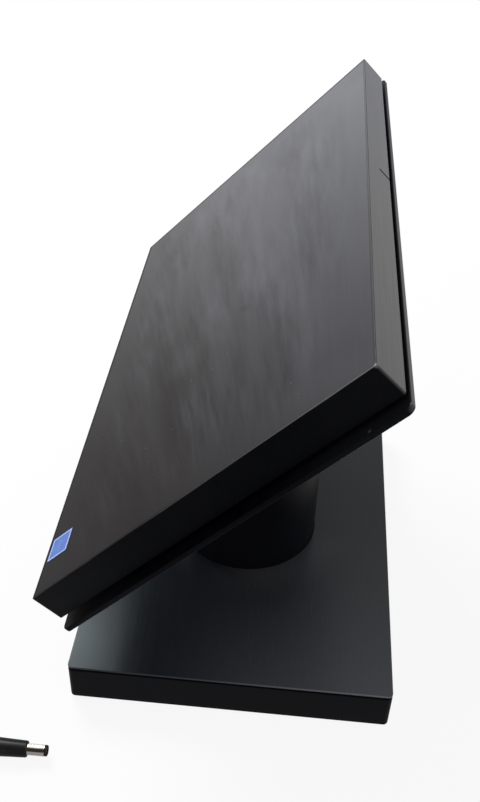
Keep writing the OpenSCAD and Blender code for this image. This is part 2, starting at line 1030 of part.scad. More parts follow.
// Moulded grip with a rounded shoulder, thicker towards the lead
module plug_body() {
  color(black)
    at_plug()
      difference() {
        rotate_extrude()
          polygon([
            [0, plug_len], [grip_r - 1.6, plug_len], [grip_r - 1, plug_len + 0.2], [grip_r - 0.7, plug_len + 0.8],
            [grip_r - 0.4, plug_len + grip_len * 0.3], [grip_r, plug_len + grip_len * 0.6],
            [grip_r - 0.1, plug_len + grip_len - 1.6], [grip_r - 0.5, plug_len + grip_len - 0.5],
            [grip_r - 1, plug_len + grip_len], [0, plug_len + grip_len]
          ]);
        rod(plug_r + snug, plug_len - 1, plug_len + barrel_sunk);
        rod(relief_r + snug, plug_len + grip_len - relief_sunk, plug_len + grip_len + 1);
      }
}

// Ribbed taper that keeps the lead from kinking
module strain_relief() {
  start = plug_len + grip_len - relief_sunk;
  ribs = 5;
  rib_step = (relief_len - 4) / ribs;
  taper = (relief_r - relief_end_r) / relief_len;
  color(black)
    at_plug() {
      rotate_extrude()
        polygon([
          [0, start], [relief_r, start], [relief_r, plug_len + grip_len + 1],
          [relief_end_r - 0.4, relief_s], [0, relief_s]
        ]);
      for (i = [0 : ribs - 1])
        translate([0, 0, plug_len + grip_len + 2 + i * rib_step])
          cylinder(r = relief_r - taper * (2 + i * rib_step), h = rib_step * 0.55);
    }
}

// A tube along a line of points: each ring stands square to the line
function unit(v) = v / norm(v);
function heading(line, i) = unit(line[min(i + 1, len(line) - 1)] - line[max(i - 1, 0)]);
function ring_at(line, i, r, sides) =
  let (t = heading(line, i), across = unit(cross(t, [0, 0, 1])), up = cross(across, t))
    [for (k = [0 : sides - 1]) line[i] + r * (cos(k * 360 / sides) * across + sin(k * 360 / sides) * up)];

module tube(line, r, sides) {
  n = len(line);
  points = [for (i = [0 : n - 1]) each ring_at(line, i, r, sides)];
  walls = [
    for (i = [0 : n - 2], k = [0 : sides - 1])
      let (a = i * sides + k, b = i * sides + (k + 1) % sides)
        each [[a, a + sides, b], [b, a + sides, b + sides]]
  ];
  caps = [
    for (k = [1 : sides - 2])
      each [[0, k, k + 1], [(n - 1) * sides, (n - 1) * sides + k + 1, (n - 1) * sides + k]]
  ];
  polyhedron(points = points, faces = concat(walls, caps));
}

// The coil: in along the lower layer, over a climb of half a turn, and out along the upper layer
function coil_height(t) = coil_z + coil_step * min(1, max(0, (t - coil_turns + 0.25) / 0.5));
function coil_point(t) =
  let (r = coil_inner_r + coil_step * abs(t - coil_turns), a = -360 * t)
    [coil_at.x + r * cos(a), coil_at.y + r * sin(a), coil_height(t)];
coil_line = [for (i = [0 : round(2 * coil_turns * coil_rings)]) coil_point(i / coil_rings)];
coil_head = coil_line[0];
coil_foot = coil_line[len(coil_line) - 1];
coil_in = heading(coil_line, 0);
coil_out = heading(coil_line, len(coil_line) - 1);

// Least distance between turns that lie beside or above each other
coil_clear = min([
  for (i = [0 : len(coil_line) - 1])
    for (j = [i + coil_rings / 2 : len(coil_line) - 1])
      norm(coil_line[i] - coil_line[j])
]) - lead_d;
echo(coil_clear = coil_clear);

relief_tip = [relief_end.x, relief_end.y, plug_z];
run_line = [
  relief_tip,
  relief_tip + [0.27, -4.6, 0],
  relief_tip + [0.6, -10, -0.3],
  relief_tip + [1.1, -17, -1],
  coil_head + [0.1, 9, -0.2],
  coil_head - lead_d * coil_in,
  coil_head
];
tail_line = [
  coil_foot,
  coil_foot + lead_d * coil_out,
  coil_foot + 10 * coil_out + [0, 0, -0.8],
  coil_foot + 16 * coil_out + [0, 0, -2],
  coil_foot + (tail_len - lead_d) * coil_out + [0, 0, socket_r + lead_rest - coil_foot.z],
  coil_foot + tail_len * coil_out + [0, 0, socket_r + lead_rest - coil_foot.z]
];
tail_end = tail_line[len(tail_line) - 1];

module lead_run() {
  color(black)
    tube(run_line, lead_d / 2, run_sides);
}

module lead_coil() {
  color(black)
    tube(coil_line, lead_d / 2, coil_sides);
}

module lead_tail() {
  color(black)
    tube(tail_line, lead_d / 2, run_sides);
}

// Strap round the turns of the coil
module lead_tie() {
  inside = [coil_outer_r - coil_inner_r + lead_d + 2 * slip, coil_step + lead_d + slip];
  mid = (coil_outer_r + coil_inner_r) / 2;
  color(black)
    translate([coil_at.x, coil_at.y, coil_z + coil_step / 2])
      rotate(-tie_turn)
        translate([mid, tie_w / 2, 0])
          rotate([90, 0, 0])
            linear_extrude(tie_w)
              difference() {
                square(inside + [2, 2] * tie_t, center = true);
                square(inside, center = true);
              }
}

// In-line socket on the lead's other end
module lead_socket() {
  turn = atan2(coil_out.y, coil_out.x);
  color(black)
    translate(tail_end)
      rotate([0, 90, turn]) {
        difference() {
          rotate_extrude()
            polygon([
              [0, 0], [relief_end_r, 0], [relief_end_r + 0.6, socket_neck_len], [socket_r, socket_neck_len + 3],
              [socket_r, socket_len - 0.8], [socket_r - 0.8, socket_len], [0, socket_len]
            ]);
          rod(socket_bore_r, socket_len - socket_bore_depth, socket_len + 1);
        }
        rod(jack_pin_r, socket_len - socket_bore_depth - 1, socket_len - 2);
      }
}

base_top();
base_body();
ballast_plate();
base_bottom();
rubber_feet();
base_screws();
column_flange();
flange_screws();
column_tube();
column_cap();
hinge_yoke();
yoke_screws();
hinge_pin();
hinge_nut();
friction_washers();
spring_washers();
hinge_bracket();
bracket_screws();
bracket_nuts();
rear_plate();
mounting_spacer();
standoffs();
rear_screws();
head_housing();
glass_gasket();
touch_glass();
lcd_panel();
backlight_unit();
panel_frame();
panel_screws();
main_board();
board_screws();
heat_sink();
storage_drive();
memory_module();
speakers();
io_board();
dc_jack();
usb_sockets();
button_switch();
power_button();
badge_label();
plug_barrel();
plug_tip_ring();
plug_body();
strain_relief();
lead_run();
lead_coil();
lead_tail();
lead_tie();
lead_socket();
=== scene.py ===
import json
import math

import bmesh
import bpy
from mathutils import Matrix, Vector


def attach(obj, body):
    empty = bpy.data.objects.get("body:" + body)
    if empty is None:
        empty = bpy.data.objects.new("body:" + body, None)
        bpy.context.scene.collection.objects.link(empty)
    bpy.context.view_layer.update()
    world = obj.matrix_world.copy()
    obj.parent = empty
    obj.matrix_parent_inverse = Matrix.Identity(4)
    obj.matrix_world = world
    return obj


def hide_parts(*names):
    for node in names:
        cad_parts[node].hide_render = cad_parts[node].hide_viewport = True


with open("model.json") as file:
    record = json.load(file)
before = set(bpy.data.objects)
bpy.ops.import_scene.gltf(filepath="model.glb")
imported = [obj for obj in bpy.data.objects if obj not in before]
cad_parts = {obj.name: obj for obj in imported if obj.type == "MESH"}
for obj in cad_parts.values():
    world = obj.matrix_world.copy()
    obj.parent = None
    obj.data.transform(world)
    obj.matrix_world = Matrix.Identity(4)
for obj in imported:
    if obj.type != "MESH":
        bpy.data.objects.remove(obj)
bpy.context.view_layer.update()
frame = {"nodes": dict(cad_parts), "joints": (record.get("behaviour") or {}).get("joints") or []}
mm = 0.001
print("frame loaded:", len(frame["nodes"]), "nodes")

# The camera, as it stood for the photograph
shot = {
    "place": (0.47189, 0.02288, 0.49801),
    "forward": (-0.8794, -0.05837, -0.68541),
    "roll": math.radians(-2.144),
    "lens": 43.12,
}


def addObject(name, data):
    made = bpy.data.objects.new(name, data)
    bpy.context.scene.collection.objects.link(made)
    return made


def addCamera():
    forward = Vector(shot["forward"]).normalized()
    level = forward.cross(Vector((0, 0, 1))).normalized()
    below = forward.cross(level)
    right = math.cos(shot["roll"]) * level + math.sin(shot["roll"]) * below
    up = forward.cross(right) * -1
    data = bpy.data.cameras.new("photoCamera")
    data.lens = shot["lens"]
    data.clip_start = 0.01
    camera = addObject("photoCamera", data)
    turn = Matrix((right, up, forward * -1)).transposed()
    camera.matrix_world = Matrix.Translation(shot["place"]) @ turn.to_4x4()
    bpy.context.scene.camera = camera


addCamera()
print("camera placed")


# Shader maths: a wire is a socket that can be added, scaled and mixed
class Wire:
    def __init__(self, tree, socket=None):
        self.tree = tree
        self.socket = socket

    def node(self, kind, settings=None, sockets=None, out=0):
        made = self.tree.nodes.new(kind)
        for name, value in (settings or {}).items():
            setattr(made, name, value)
        for key, value in (sockets or {}).items():
            if isinstance(value, Wire):
                self.tree.links.new(value.socket, made.inputs[key])
            else:
                made.inputs[key].default_value = value
        return Wire(self.tree, made.outputs[out])

    def math(self, operation, first, second=0.0):
        return self.node("ShaderNodeMath", {"operation": operation}, {0: first, 1: second})

    def __add__(self, other):
        return self.math("ADD", self, other)

    def __radd__(self, other):
        return self.math("ADD", other, self)

    def __sub__(self, other):
        return self.math("SUBTRACT", self, other)

    def __rsub__(self, other):
        return self.math("SUBTRACT", other, self)

    def __mul__(self, other):
        return self.math("MULTIPLY", self, other)

    def __rmul__(self, other):
        return self.math("MULTIPLY", other, self)

    def __truediv__(self, other):
        return self.math("DIVIDE", self, other)

    def size(self):
        return self.math("ABSOLUTE", self)

    # 0 below low, 1 above high, and a soft step between them
    def step(self, low, high):
        return self.node(
            "ShaderNodeMapRange",
            {"interpolation_type": "SMOOTHSTEP"},
            {"Value": self, "From Min": low, "From Max": high},
        )

    def mix(self, low, high):
        low, high = (shade if isinstance(shade, Wire) else colour(*shade) for shade in (low, high))
        return self.node("ShaderNodeMix", {"data_type": "RGBA"}, {"Factor": self, 6: low, 7: high}, out=2)


def colour(red, green, blue):
    return (red, green, blue, 1.0)


def newFinish(name, constants):
    material = bpy.data.materials.new(name)
    material.use_nodes = True
    shader = material.node_tree.nodes["Principled BSDF"]
    for socket, value in constants.items():
        shader.inputs[socket].default_value = colour(*value) if isinstance(value, tuple) else value
    return material, shader, Wire(material.node_tree)


def feed(shader, **wires):
    for socket, wire in wires.items():
        wire.tree.links.new(wire.socket, shader.inputs[socket.replace("_", " ")])


# The head's frame: its origin is on the hinge pin, x runs across and z is the face's normal
tilt = math.radians(46)
hinge = Vector(next(j for j in frame["joints"] if j["name"] == "head_tilt")["pos_m"])
headPlace = Matrix.Translation(hinge) @ Matrix.Rotation(tilt, 4, "X")
toHead = headPlace.inverted()


def place(wire, stretch=(1, 1, 1), onHead=False):
    here = wire.node("ShaderNodeTexCoord", out="Object")
    if onHead:
        here = wire.node(
            "ShaderNodeMapping", None, {"Vector": here, "Location": toHead.translation, "Rotation": toHead.to_euler()}
        )
    if stretch != (1, 1, 1):
        here = wire.node("ShaderNodeMapping", None, {"Vector": here, "Scale": stretch})
    return here


def axes(wire, here):
    parts = wire.node("ShaderNodeSeparateXYZ", None, {"Vector": here})
    return [Wire(wire.tree, socket) for socket in parts.socket.node.outputs]


def noise(wire, here, scale, detail=2.0, rough=0.5):
    return wire.node(
        "ShaderNodeTexNoise", None, {"Vector": here, "Scale": scale, "Detail": detail, "Roughness": rough}
    )


def bump(wire, height, depth):
    return wire.node("ShaderNodeBump", None, {"Height": height, "Distance": depth})


# 1 on a wall and 0 deeper than its reach, along the axis that points out of it
def atWall(axis, wall, reach):
    return axis.step(wall - reach[0], wall - reach[1])


# Coats, plastics and metals: two shades, an uneven gloss and a fine grain, with streaks where stretch says so.
# Some have painted light or shade below a height, or are rubbed smooth along the top
grainLook = {
    "cloud": 18.0, "stretch": (1, 1, 1), "glossSpread": 0.1, "depth": 0.00001, "constants": {},
    "shares": (0.45, 0.4, 0.15), "shadeSpan": (0.3, 0.7),
}


def grainedFinish(name, look):
    look = {**grainLook, **look}
    material, shader, wire = newFinish(name, look["constants"])
    here = place(wire)
    cloud = noise(wire, here, look["cloud"], 3.0)
    streak = noise(wire, place(wire, look["stretch"]), look["streak"], 3.0, 0.6)
    grain = noise(wire, here, look["grain"], 1.0)
    cloudy, streaky, grainy = look["shares"]
    shade = (cloudy * cloud + streaky * streak + grainy * grain).step(*look["shadeSpan"])
    base = shade.mix(look["dark"], look["light"])
    # Painted light or shade below a height
    if "below" in look:
        z = axes(wire, here)[2]
        base = z.step(*look["belowTo"]).mix(look["below"], base)
    if "rubbedRadius" in look:
        x, y, z = axes(wire, here)
        beside = (x - plugNose.x + math.tan(lead["turn"]) * (y - plugNose.y)) / look["rubbedRadius"]
        above = (z - plugNose.z) / look["rubbedRadius"]
        rubbed = beside.step(*look["rubbedSide"]) * above.step(*look["rubbedTop"])
        feed(shader, Coat_Weight=look["coat"] * rubbed)
    feed(
        shader,
        Base_Color=base,
        Roughness=look["gloss"] + look["glossSpread"] * (streak - 0.5),
        Normal=bump(wire, grain, look["depth"]),
    )
    return material


finishes = {}

# The lead: the same route as the solid's, in metres
lead = {
    "plugTip": (0.1744, -0.0983),
    "turn": math.radians(0.7),
    "rest": 0.0001,
    "gripRadius": 0.0053,
    "tipRadius": 0.0031,
    "barrelLength": 0.0114,
    "gripLength": 0.032,
    "reliefLength": 0.022,
    "diameter": 0.0046,
    "runLength": 0.030,
    "turns": 3.125,
    "innerRadius": 0.0184,
    "step": 0.0052,
    "climbTurns": 0.5,
    "tieThickness": 0.0012,
    "slack": 0.00015,
    "tailLength": 0.026,
    "socketRadius": 0.0054,
    # Bends between the plug and the coil, and how far along and down the tail goes
    "runBends": [(0, 0, 0), (0.00027, -0.0046, 0), (0.0006, -0.010, -0.0003), (0.0011, -0.017, -0.0010)],
    "runEnd": (0.0001, 0.009, -0.0002),
    "tailBends": [(0.010, -0.0008), (0.016, -0.0020)],
    "pointsPerTurn": 64,
    "length": 1.1,
}
plugBack = Vector((math.sin(lead["turn"]), -math.cos(lead["turn"]), 0))
plugNose = Vector((*lead["plugTip"], lead["gripRadius"] + lead["rest"]))
reliefTip = plugNose + plugBack * (lead["barrelLength"] + lead["gripLength"] + lead["reliefLength"])
coilOuter = lead["innerRadius"] + lead["step"] * lead["turns"]
coilLow = lead["rest"] + lead["tieThickness"] + lead["slack"] + lead["diameter"] / 2
coilStart = reliefTip + Vector((lead["runLength"] * math.sin(lead["turn"]), -lead["runLength"], 0))
coilMiddle = Vector((coilStart.x - coilOuter, coilStart.y, 0))


def coilPoint(turn):
    radius = lead["innerRadius"] + lead["step"] * abs(turn - lead["turns"])
    climb = min(1, max(0, (turn - lead["turns"]) / lead["climbTurns"] + 0.5))
    angle = -2 * math.pi * turn
    return coilMiddle + Vector((radius * math.cos(angle), radius * math.sin(angle), coilLow + lead["step"] * climb))


def leadRoute():
    count = round(2 * lead["turns"] * lead["pointsPerTurn"])
    coil = [coilPoint(i / lead["pointsPerTurn"]) for i in range(count + 1)]
    first = (coil[1] - coil[0]).normalized()
    last = (coil[-1] - coil[-2]).normalized()
    d, long = lead["diameter"], lead["tailLength"]
    drop = lead["socketRadius"] + lead["rest"] - coil[-1].z
    run = [reliefTip + Vector(bend) for bend in lead["runBends"]]
    run += [coil[0] + Vector(lead["runEnd"]), coil[0] - d * first]
    falls = [(d, 0), *lead["tailBends"], (long - d, drop), (long, drop)]
    tail = [coil[-1] + along * last + Vector((0, 0, down)) for along, down in falls]
    return run + coil + tail


# Black vinyl. The plug's own is duller, and rubbed smooth along the top; those spans are in radii
vinylLook = {
    "dark": (0.0095, 0.0095, 0.0100), "light": (0.0200, 0.0202, 0.0210), "gloss": 0.40, "glossSpread": 0.12,
    "cloud": 90.0, "streak": 420.0, "grain": 5200.0, "depth": 0.00002,
    "constants": {"Specular IOR Level": 0.15},
}
plugVinyl = {
    "dark": (0.0100, 0.0100, 0.0106), "light": (0.0195, 0.0197, 0.0205), "gloss": 0.42, "coat": 0.56,
    "rubbedTop": (0.40, 0.70), "rubbedSide": (-0.20, 0.05),
    "constants": {"Specular IOR Level": 0.04, "Coat Roughness": 0.34},
}
finishes["vinyl"] = grainedFinish("blackVinyl", vinylLook)
for finish, radius in (("grip", lead["gripRadius"]), ("tip", lead["tipRadius"])):
    finishes[finish] = grainedFinish(finish + "Vinyl", {**vinylLook, **plugVinyl, "rubbedRadius": radius})


def layLead():
    data = bpy.data.curves.new("powerLead", "CURVE")
    data.dimensions = "3D"
    data.bevel_depth = lead["diameter"] / 2
    data.bevel_resolution = 4
    data.use_fill_caps = True
    route = leadRoute()
    spline = data.splines.new("POLY")
    spline.points.add(len(route) - 1)
    for point, spot in zip(spline.points, route):
        point.co = (*spot, 1)
    spline.use_smooth = True
    cord = addObject("powerLead", data)
    data.materials.append(finishes["vinyl"])
    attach(cord, "stand")
    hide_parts("lead_run", "lead_coil", "lead_tail")
    return cord, route


powerLead, leadLine = layLead()
print("lead laid:", round(sum((b - a).length for a, b in zip(leadLine, leadLine[1:])), 3), "m")


# Modelling helpers
def leaveEdit():
    if bpy.context.mode != "OBJECT":
        bpy.ops.object.mode_set(mode="OBJECT")


def deselect():
    leaveEdit()
    bpy.ops.object.select_all(action="DESELECT")


def activate(piece):
    deselect()
    piece.select_set(True)
    bpy.context.view_layer.objects.active = piece


def editAll(piece):
    activate(piece)
    bpy.ops.object.mode_set(mode="EDIT")
    bpy.ops.mesh.select_all(action="SELECT")


# Names the new primitive and puts its place into its mesh
def named(name):
    piece = bpy.context.object
    piece.name = name
    bpy.ops.object.transform_apply(location=True, rotation=True, scale=True)
    return piece


def modify(piece, kind, **settings):
    activate(piece)
    bpy.ops.object.modifier_add(type=kind)
    tool = piece.modifiers[-1]
    for setting, value in settings.items():
        setattr(tool, setting, value)
    bpy.ops.object.modifier_apply(modifier=tool.name)


def boxOf(spots):
    return [Vector([pick(p[i] for p in spots) for i in range(3)]) for pick in (min, max)]


def spans(node, turn=Matrix.Identity(4)):
    return boxOf([turn @ v.co for v in frame["nodes"][node].data.vertices])


# Boxes of the separate solids of one node, such as each screw of a set
def solids(node, turn=Matrix.Identity(4)):
    mesh = bmesh.new()
    mesh.from_mesh(frame["nodes"][node].data)
    bmesh.ops.remove_doubles(mesh, verts=mesh.verts, dist=1e-6)
    left = dict.fromkeys(mesh.verts)
    boxes = []
    while left:
        group = [left.popitem()[0]]
        for vert in group:
            for edge in vert.link_edges:
                other = edge.other_vert(vert)
                if other in left:
                    del left[other]
                    group.append(other)
        boxes.append(boxOf([turn @ v.co for v in group]))
    mesh.free()
    return boxes


def block(name, low, high):
    deselect()
    low, high = Vector(low), Vector(high)
    bpy.ops.mesh.primitive_cube_add(size=1, location=(low + high) / 2)
    bpy.context.object.scale = high - low
    return named(name)


def drum(name, radius, low, high, spot=(0, 0), sides=96):
    deselect()
    bpy.ops.mesh.primitive_cylinder_add(
        vertices=sides, radius=radius, depth=high - low, location=(spot[0], spot[1], (low + high) / 2)
    )
    return named(name)


def choose(piece, kind, test):
    editAll(piece)
    bpy.ops.mesh.select_mode(type=kind)
    bpy.ops.mesh.select_all(action="DESELECT")
    mesh = bmesh.from_edit_mesh(piece.data)
    for item in mesh.edges if kind == "EDGE" else mesh.faces:
        item.select_set(bool(test(item)))
    bmesh.update_edit_mesh(piece.data)


def upright(edge):
    run = edge.verts[1].co - edge.verts[0].co
    return abs(run.z) > 0.99 * run.length


def atLevel(level):
    return lambda item: all(abs(v.co.z - level) < 1e-6 for v in item.verts)


def roundEdges(piece, test, radius, segments=3):
    choose(piece, "EDGE", test)
    bpy.ops.mesh.bevel(offset=radius, segments=segments, profile=0.5, affect="EDGES", clamp_overlap=True)
    leaveEdit()


# Inset the picked face, then push it in or out along z
def stepFace(piece, test, inset, push):
    choose(piece, "FACE", test)
    bpy.ops.mesh.inset(thickness=inset, depth=0)
    bpy.ops.mesh.extrude_region_move(TRANSFORM_OT_translate={"value": (0, 0, push)})
    leaveEdit()


def combine(piece, other, operation):
    modify(piece, "BOOLEAN", operation=operation, solver="MANIFOLD", object=other)
    if not piece.data.polygons:
        raise RuntimeError("nothing left of " + piece.name + " after " + other.name)
    bpy.data.objects.remove(other)


def cut(piece, cutter):
    combine(piece, cutter, "DIFFERENCE")


def join(piece, other):
    combine(piece, other, "UNION")


def faceOut(piece):
    editAll(piece)
    bpy.ops.mesh.normals_make_consistent(inside=False)
    leaveEdit()


# A turned piece: a disc is drawn out along z and scaled ring by ring
def turned(name, profile, sides=64):
    deselect()
    radius, level = profile[0]
    bpy.ops.mesh.primitive_circle_add(vertices=sides, radius=radius, fill_type="NGON", location=(0, 0, level))
    piece = named(name)
    editAll(piece)
    for wide, high in profile[1:]:
        bpy.ops.mesh.extrude_region_move(TRANSFORM_OT_translate={"value": (0, 0, high - level)})
        bpy.ops.transform.resize(value=(wide / radius, wide / radius, 1), center_override=(0, 0, high))
        radius, level = wide, high
    faceOut(piece)
    return piece


# A bore through a turned piece: both ends are inset, opened and bridged
def boreThrough(piece, wall, ends):
    choose(piece, "FACE", lambda f: abs(f.normal.z) > 0.9 and any(atLevel(z)(f) for z in ends))
    bpy.ops.mesh.inset(thickness=wall, depth=0, use_individual=True)
    bpy.ops.mesh.delete(type="FACE")
    bpy.ops.mesh.select_mode(type="EDGE")
    bpy.ops.mesh.select_non_manifold(extend=False)
    bpy.ops.mesh.bridge_edge_loops()
    faceOut(piece)


sharpAngle = 40  # degrees


# A copy of a node's own mesh, joined up, with its sharp edges broken
def softened(name, node, width):
    piece = addObject(name, frame["nodes"][node].data.copy())
    editAll(piece)
    bpy.ops.mesh.remove_doubles(threshold=1e-6)
    bpy.ops.mesh.dissolve_limited(angle_limit=math.radians(1))
    modify(
        piece, "BEVEL", width=width, segments=2, limit_method="ANGLE", angle_limit=math.radians(sharpAngle)
    )
    return piece


def settle(piece, body, finish, nodes, turn=None):
    activate(piece)
    if turn is not None:
        piece.matrix_world = turn
        bpy.ops.object.transform_apply(location=True, rotation=True, scale=True)
    bpy.ops.object.shade_smooth_by_angle(angle=math.radians(sharpAngle))
    modify(piece, "WEIGHTED_NORMAL", keep_sharp=True, weight=100)
    piece.data.materials.clear()
    piece.data.materials.append(finishes[finish])
    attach(piece, body)
    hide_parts(*nodes)
    return piece


# Boxes that the finishes and the shapes go by
topLow, topHigh = spans("base_top")
columnLow, columnHigh = spans("column_tube")
columnRadius = columnHigh.x
housingLow, housingHigh = spans("head_housing", toHead)
glassLow, glassHigh = spans("touch_glass", toHead)
gasketLow = spans("glass_gasket", toHead)[0]
plateLow, plateHigh = spans("rear_plate", toHead)
labelLow, labelHigh = spans("badge_label", toHead)
faceMiddle = (housingLow + housingHigh) / 2
cornerRadius = {"housing": 1.3 * mm, "plate": 3.5 * mm}


# A dull ground under a thin clear coat, which may vary in weight
def coatedFinish(name, look):
    return newFinish(
        name,
        {
            "Specular IOR Level": look["specular"],
            "Coat IOR": look["coatIndex"],
            "Coat Roughness": look["coatRough"],
            "Coat Tint": look["coatTint"],
        },
    )


# Hairlines along x, soft clouds and a fine grain
def coatLayers(wire, look, onHead):
    here = place(wire, onHead=onHead)
    hairline = noise(wire, place(wire, look["hairStretch"], onHead), look["hairScale"], 2.0, 0.6)
    return here, hairline, noise(wire, here, look["cloudScale"], 3.0), noise(wire, here, look["grainScale"], 1.0)


# Screen: black glass with hairlines along x, glossier towards the far upper corner, and wiped from one side; its
# ground is painted lighter and bluer where it is glossier, a painted sheen
screenLook = {
    "low": (0.0074, 0.0051, 0.0056), "high": (0.021, 0.023, 0.037), "speck": (0.30, 0.30, 0.29),
    "gloss": 0.483, "glossAcross": (-1.68, -1.2), "glossUp": (3.28, 2.7), "glossMiddle": 0.03, "leastGloss": 0.03,
    "wipeFrom": (0.50, 0.135), "broadWipe": (33.0, 9.0), "narrowWipe": (94.0, 24.0), "wipeShares": (0.8, 0.5),
    "wipedSide": (0.140, 0.176), "wipedLow": (-0.086, -0.060), "wipedHigh": (0.080, 0.118), "wipedLess": 0.8,
    "smear": 1.25, "hairStretch": (0.012, 1, 1), "hairScale": 1300.0, "hair": 0.22, "patchScale": 15.0,
    "dustScale": 420.0, "dustAndPaintedLight": (0.80, 0.83), "dustShare": 0.4, "edge": (0.0009, 0.0017), "edgeGloss": 0.15,
    "specular": 0.03, "rough": 0.36, "coatRough": 0.30, "coatIndex": 1.4, "coatTint": (0.955, 0.965, 1.0),
    # How far the gloss, hairlines, smears, wipes and patches lighten the ground; the gloss share is a painted sheen
    "lighten": (0.85, 0.25, 0.9, 0.3, 0.2),
    # Broad wipes: x, y, angle, reach along and across, and how much glossier or duller
    "wipes": [
        (-0.060, 0.040, 13, 0.150, 0.026, 0.20), (0.075, 0.078, 21, 0.095, 0.020, 0.17),
        (0.100, 0.003, 15, 0.056, 0.024, -0.42), (0.040, -0.030, 22, 0.120, 0.024, -0.24),
        (-0.127, -0.058, 18, 0.075, 0.014, -0.24), (-0.130, 0.000, 15, 0.080, 0.026, 0.12),
        (0.043, 0.027, 4, 0.036, 0.010, 0.17), (-0.050, 0.003, 12, 0.075, 0.013, -0.12),
        (-0.118, -0.026, 14, 0.070, 0.009, -0.13), (0.046, 0.040, 40, 0.007, 0.004, -0.22),
        (-0.095, -0.018, 12, 0.180, 0.095, 0.13), (0.055, -0.084, 4, 0.080, 0.030, 0.20),
        (0.168, 0.105, 70, 0.050, 0.024, 0.20), (-0.172, 0.120, 0, 0.040, 0.022, -0.10),
    ],
}


# How glossy the front is, by its place on the head
def frontGloss(wire, x, y):
    up = y - screenLook["glossMiddle"]
    slopeX, bendX = screenLook["glossAcross"]
    slopeY, bendY = screenLook["glossUp"]
    gloss = screenLook["gloss"] + x * (slopeX + bendX * x) + up * (slopeY + bendY * up)
    return wire.math("MINIMUM", wire.math("MAXIMUM", gloss, screenLook["leastGloss"]), 1.0)


# Wiping strokes fan out from a point beside the screen
def strokes(wire, x, y, counts):
    run = screenLook["wipeFrom"][0] - x
    slope = (y - screenLook["wipeFrom"][1]) / run
    here = wire.node("ShaderNodeCombineXYZ", None, {0: slope * counts[0], 1: run * counts[1]})
    return noise(wire, here, 1.0, 3.0, 0.55) - 0.5


def wipeMark(wire, x, y, ragged, mark):
    middleX, middleY, angle, long, wide, strength = mark
    c, s = math.cos(math.radians(angle)), math.sin(math.radians(angle))
    along = ((x - middleX) * c + (y - middleY) * s).size()
    across = ((y - middleY) * c - (x - middleX) * s + wide * ragged).size()
    return strength * (1 - along.step(0.3 * long, long)) * (1 - across.step(0.0, wide))


def screenFinish():
    look = screenLook
    material, shader, wire = coatedFinish("screenGlass", look)
    here = place(wire, onHead=True)
    x, y = axes(wire, here)[:2]
    hairline = noise(wire, place(wire, look["hairStretch"], True), look["hairScale"], 2.0, 0.6) - 0.5
    patch = noise(wire, here, look["patchScale"], 2.0)
    dustAndPaintedLight = noise(wire, here, look["dustScale"], 1.0)
    gloss = frontGloss(wire, x, y)
    worked = (1 - x.size().step(*look["wipedSide"])) * y.step(*look["wipedLow"])
    worked = worked * (1 - look["wipedLess"] * y.step(*look["wipedHigh"]))
    broad = strokes(wire, x, y, look["broadWipe"])
    narrow = strokes(wire, x, y, look["narrowWipe"])
    broadShare, narrowShare = look["wipeShares"]
    smear = (broadShare * broad + narrowShare * narrow) * (0.5 + 0.5 * patch.step(0.3, 0.6)) * worked
    wiped = sum(wipeMark(wire, x, y, broad + narrow, mark) for mark in look["wipes"])
    # A dull line along the far and the lower edge
    start, end = look["edge"]
    clear = x.step(glassLow.x + start, glassLow.x + end) * y.step(glassLow.y + start, glassLow.y + end)
    clear = look["edgeGloss"] + (1 - look["edgeGloss"]) * clear
    specks = look["dustShare"] * dustAndPaintedLight.step(*look["dustAndPaintedLight"])
    # Painted sheen: the ground turns from dark brown to pale blue as the gloss rises towards the far upper corner
    layers = zip(look["lighten"], (gloss, hairline, smear, wiped, patch - 0.5))
    light = sum(share * layer for share, layer in layers).step(0.0, 1.0)
    shade = light.mix(look["low"], look["high"])
    coat = gloss * (1 + look["smear"] * smear + wiped + look["hair"] * hairline) + 0.3 * smear
    feed(
        shader,
        Base_Color=specks.mix(shade, look["speck"]),
        Roughness=look["rough"] + 0.12 * hairline + 0.2 * smear,
        Coat_Weight=wire.math("MAXIMUM", coat, 0.0) * clear,
        Normal=bump(wire, hairline, 0.000006),
    )
    return material


finishes["screen"] = screenFinish()

# Housing and back plate: dull black coat, smoother on the front rim, the upper wall and the back, worn at the edges,
# with painted light at the lower and upper ends and a painted bluish reflection at the far end of the upper wall
shellLook = {
    "dark": (0.0009, 0.0011, 0.0024), "light": (0.0115, 0.0120, 0.0135), "wornAndPaintedHighlight": (0.16, 0.16, 0.16),
    "paintedBlueReflection": (0.003, 0.005, 0.026), "paintedBlueReflectionTo": 0.08, "specular": 0.02, "rough": 0.40, "roughSpread": 0.16,
    "coatRough": 0.34, "coatIndex": 1.65, "coatTint": (0.955, 0.965, 1.0), "hairStretch": (0.015, 1, 1),
    "hairScale": 1000.0, "cloudScale": 24.0, "cloudShare": 0.25, "cloudWear": (0.45, 0.65), "grainScale": 3600.0,
    "paintedLowLightRun": (-0.02, 0.09), "chipCore": 0.0006, "nearRimGain": 1.4,
    # How deep each zone lies behind its wall
    "skin": (0.00014, 0.00004), "rimInset": (0.0015, 0.0025), "nearRim": (0.0020, 0.0013), "edge": (0.0004, 0.0001),
    "end": (0.0006, 0.0002),
}


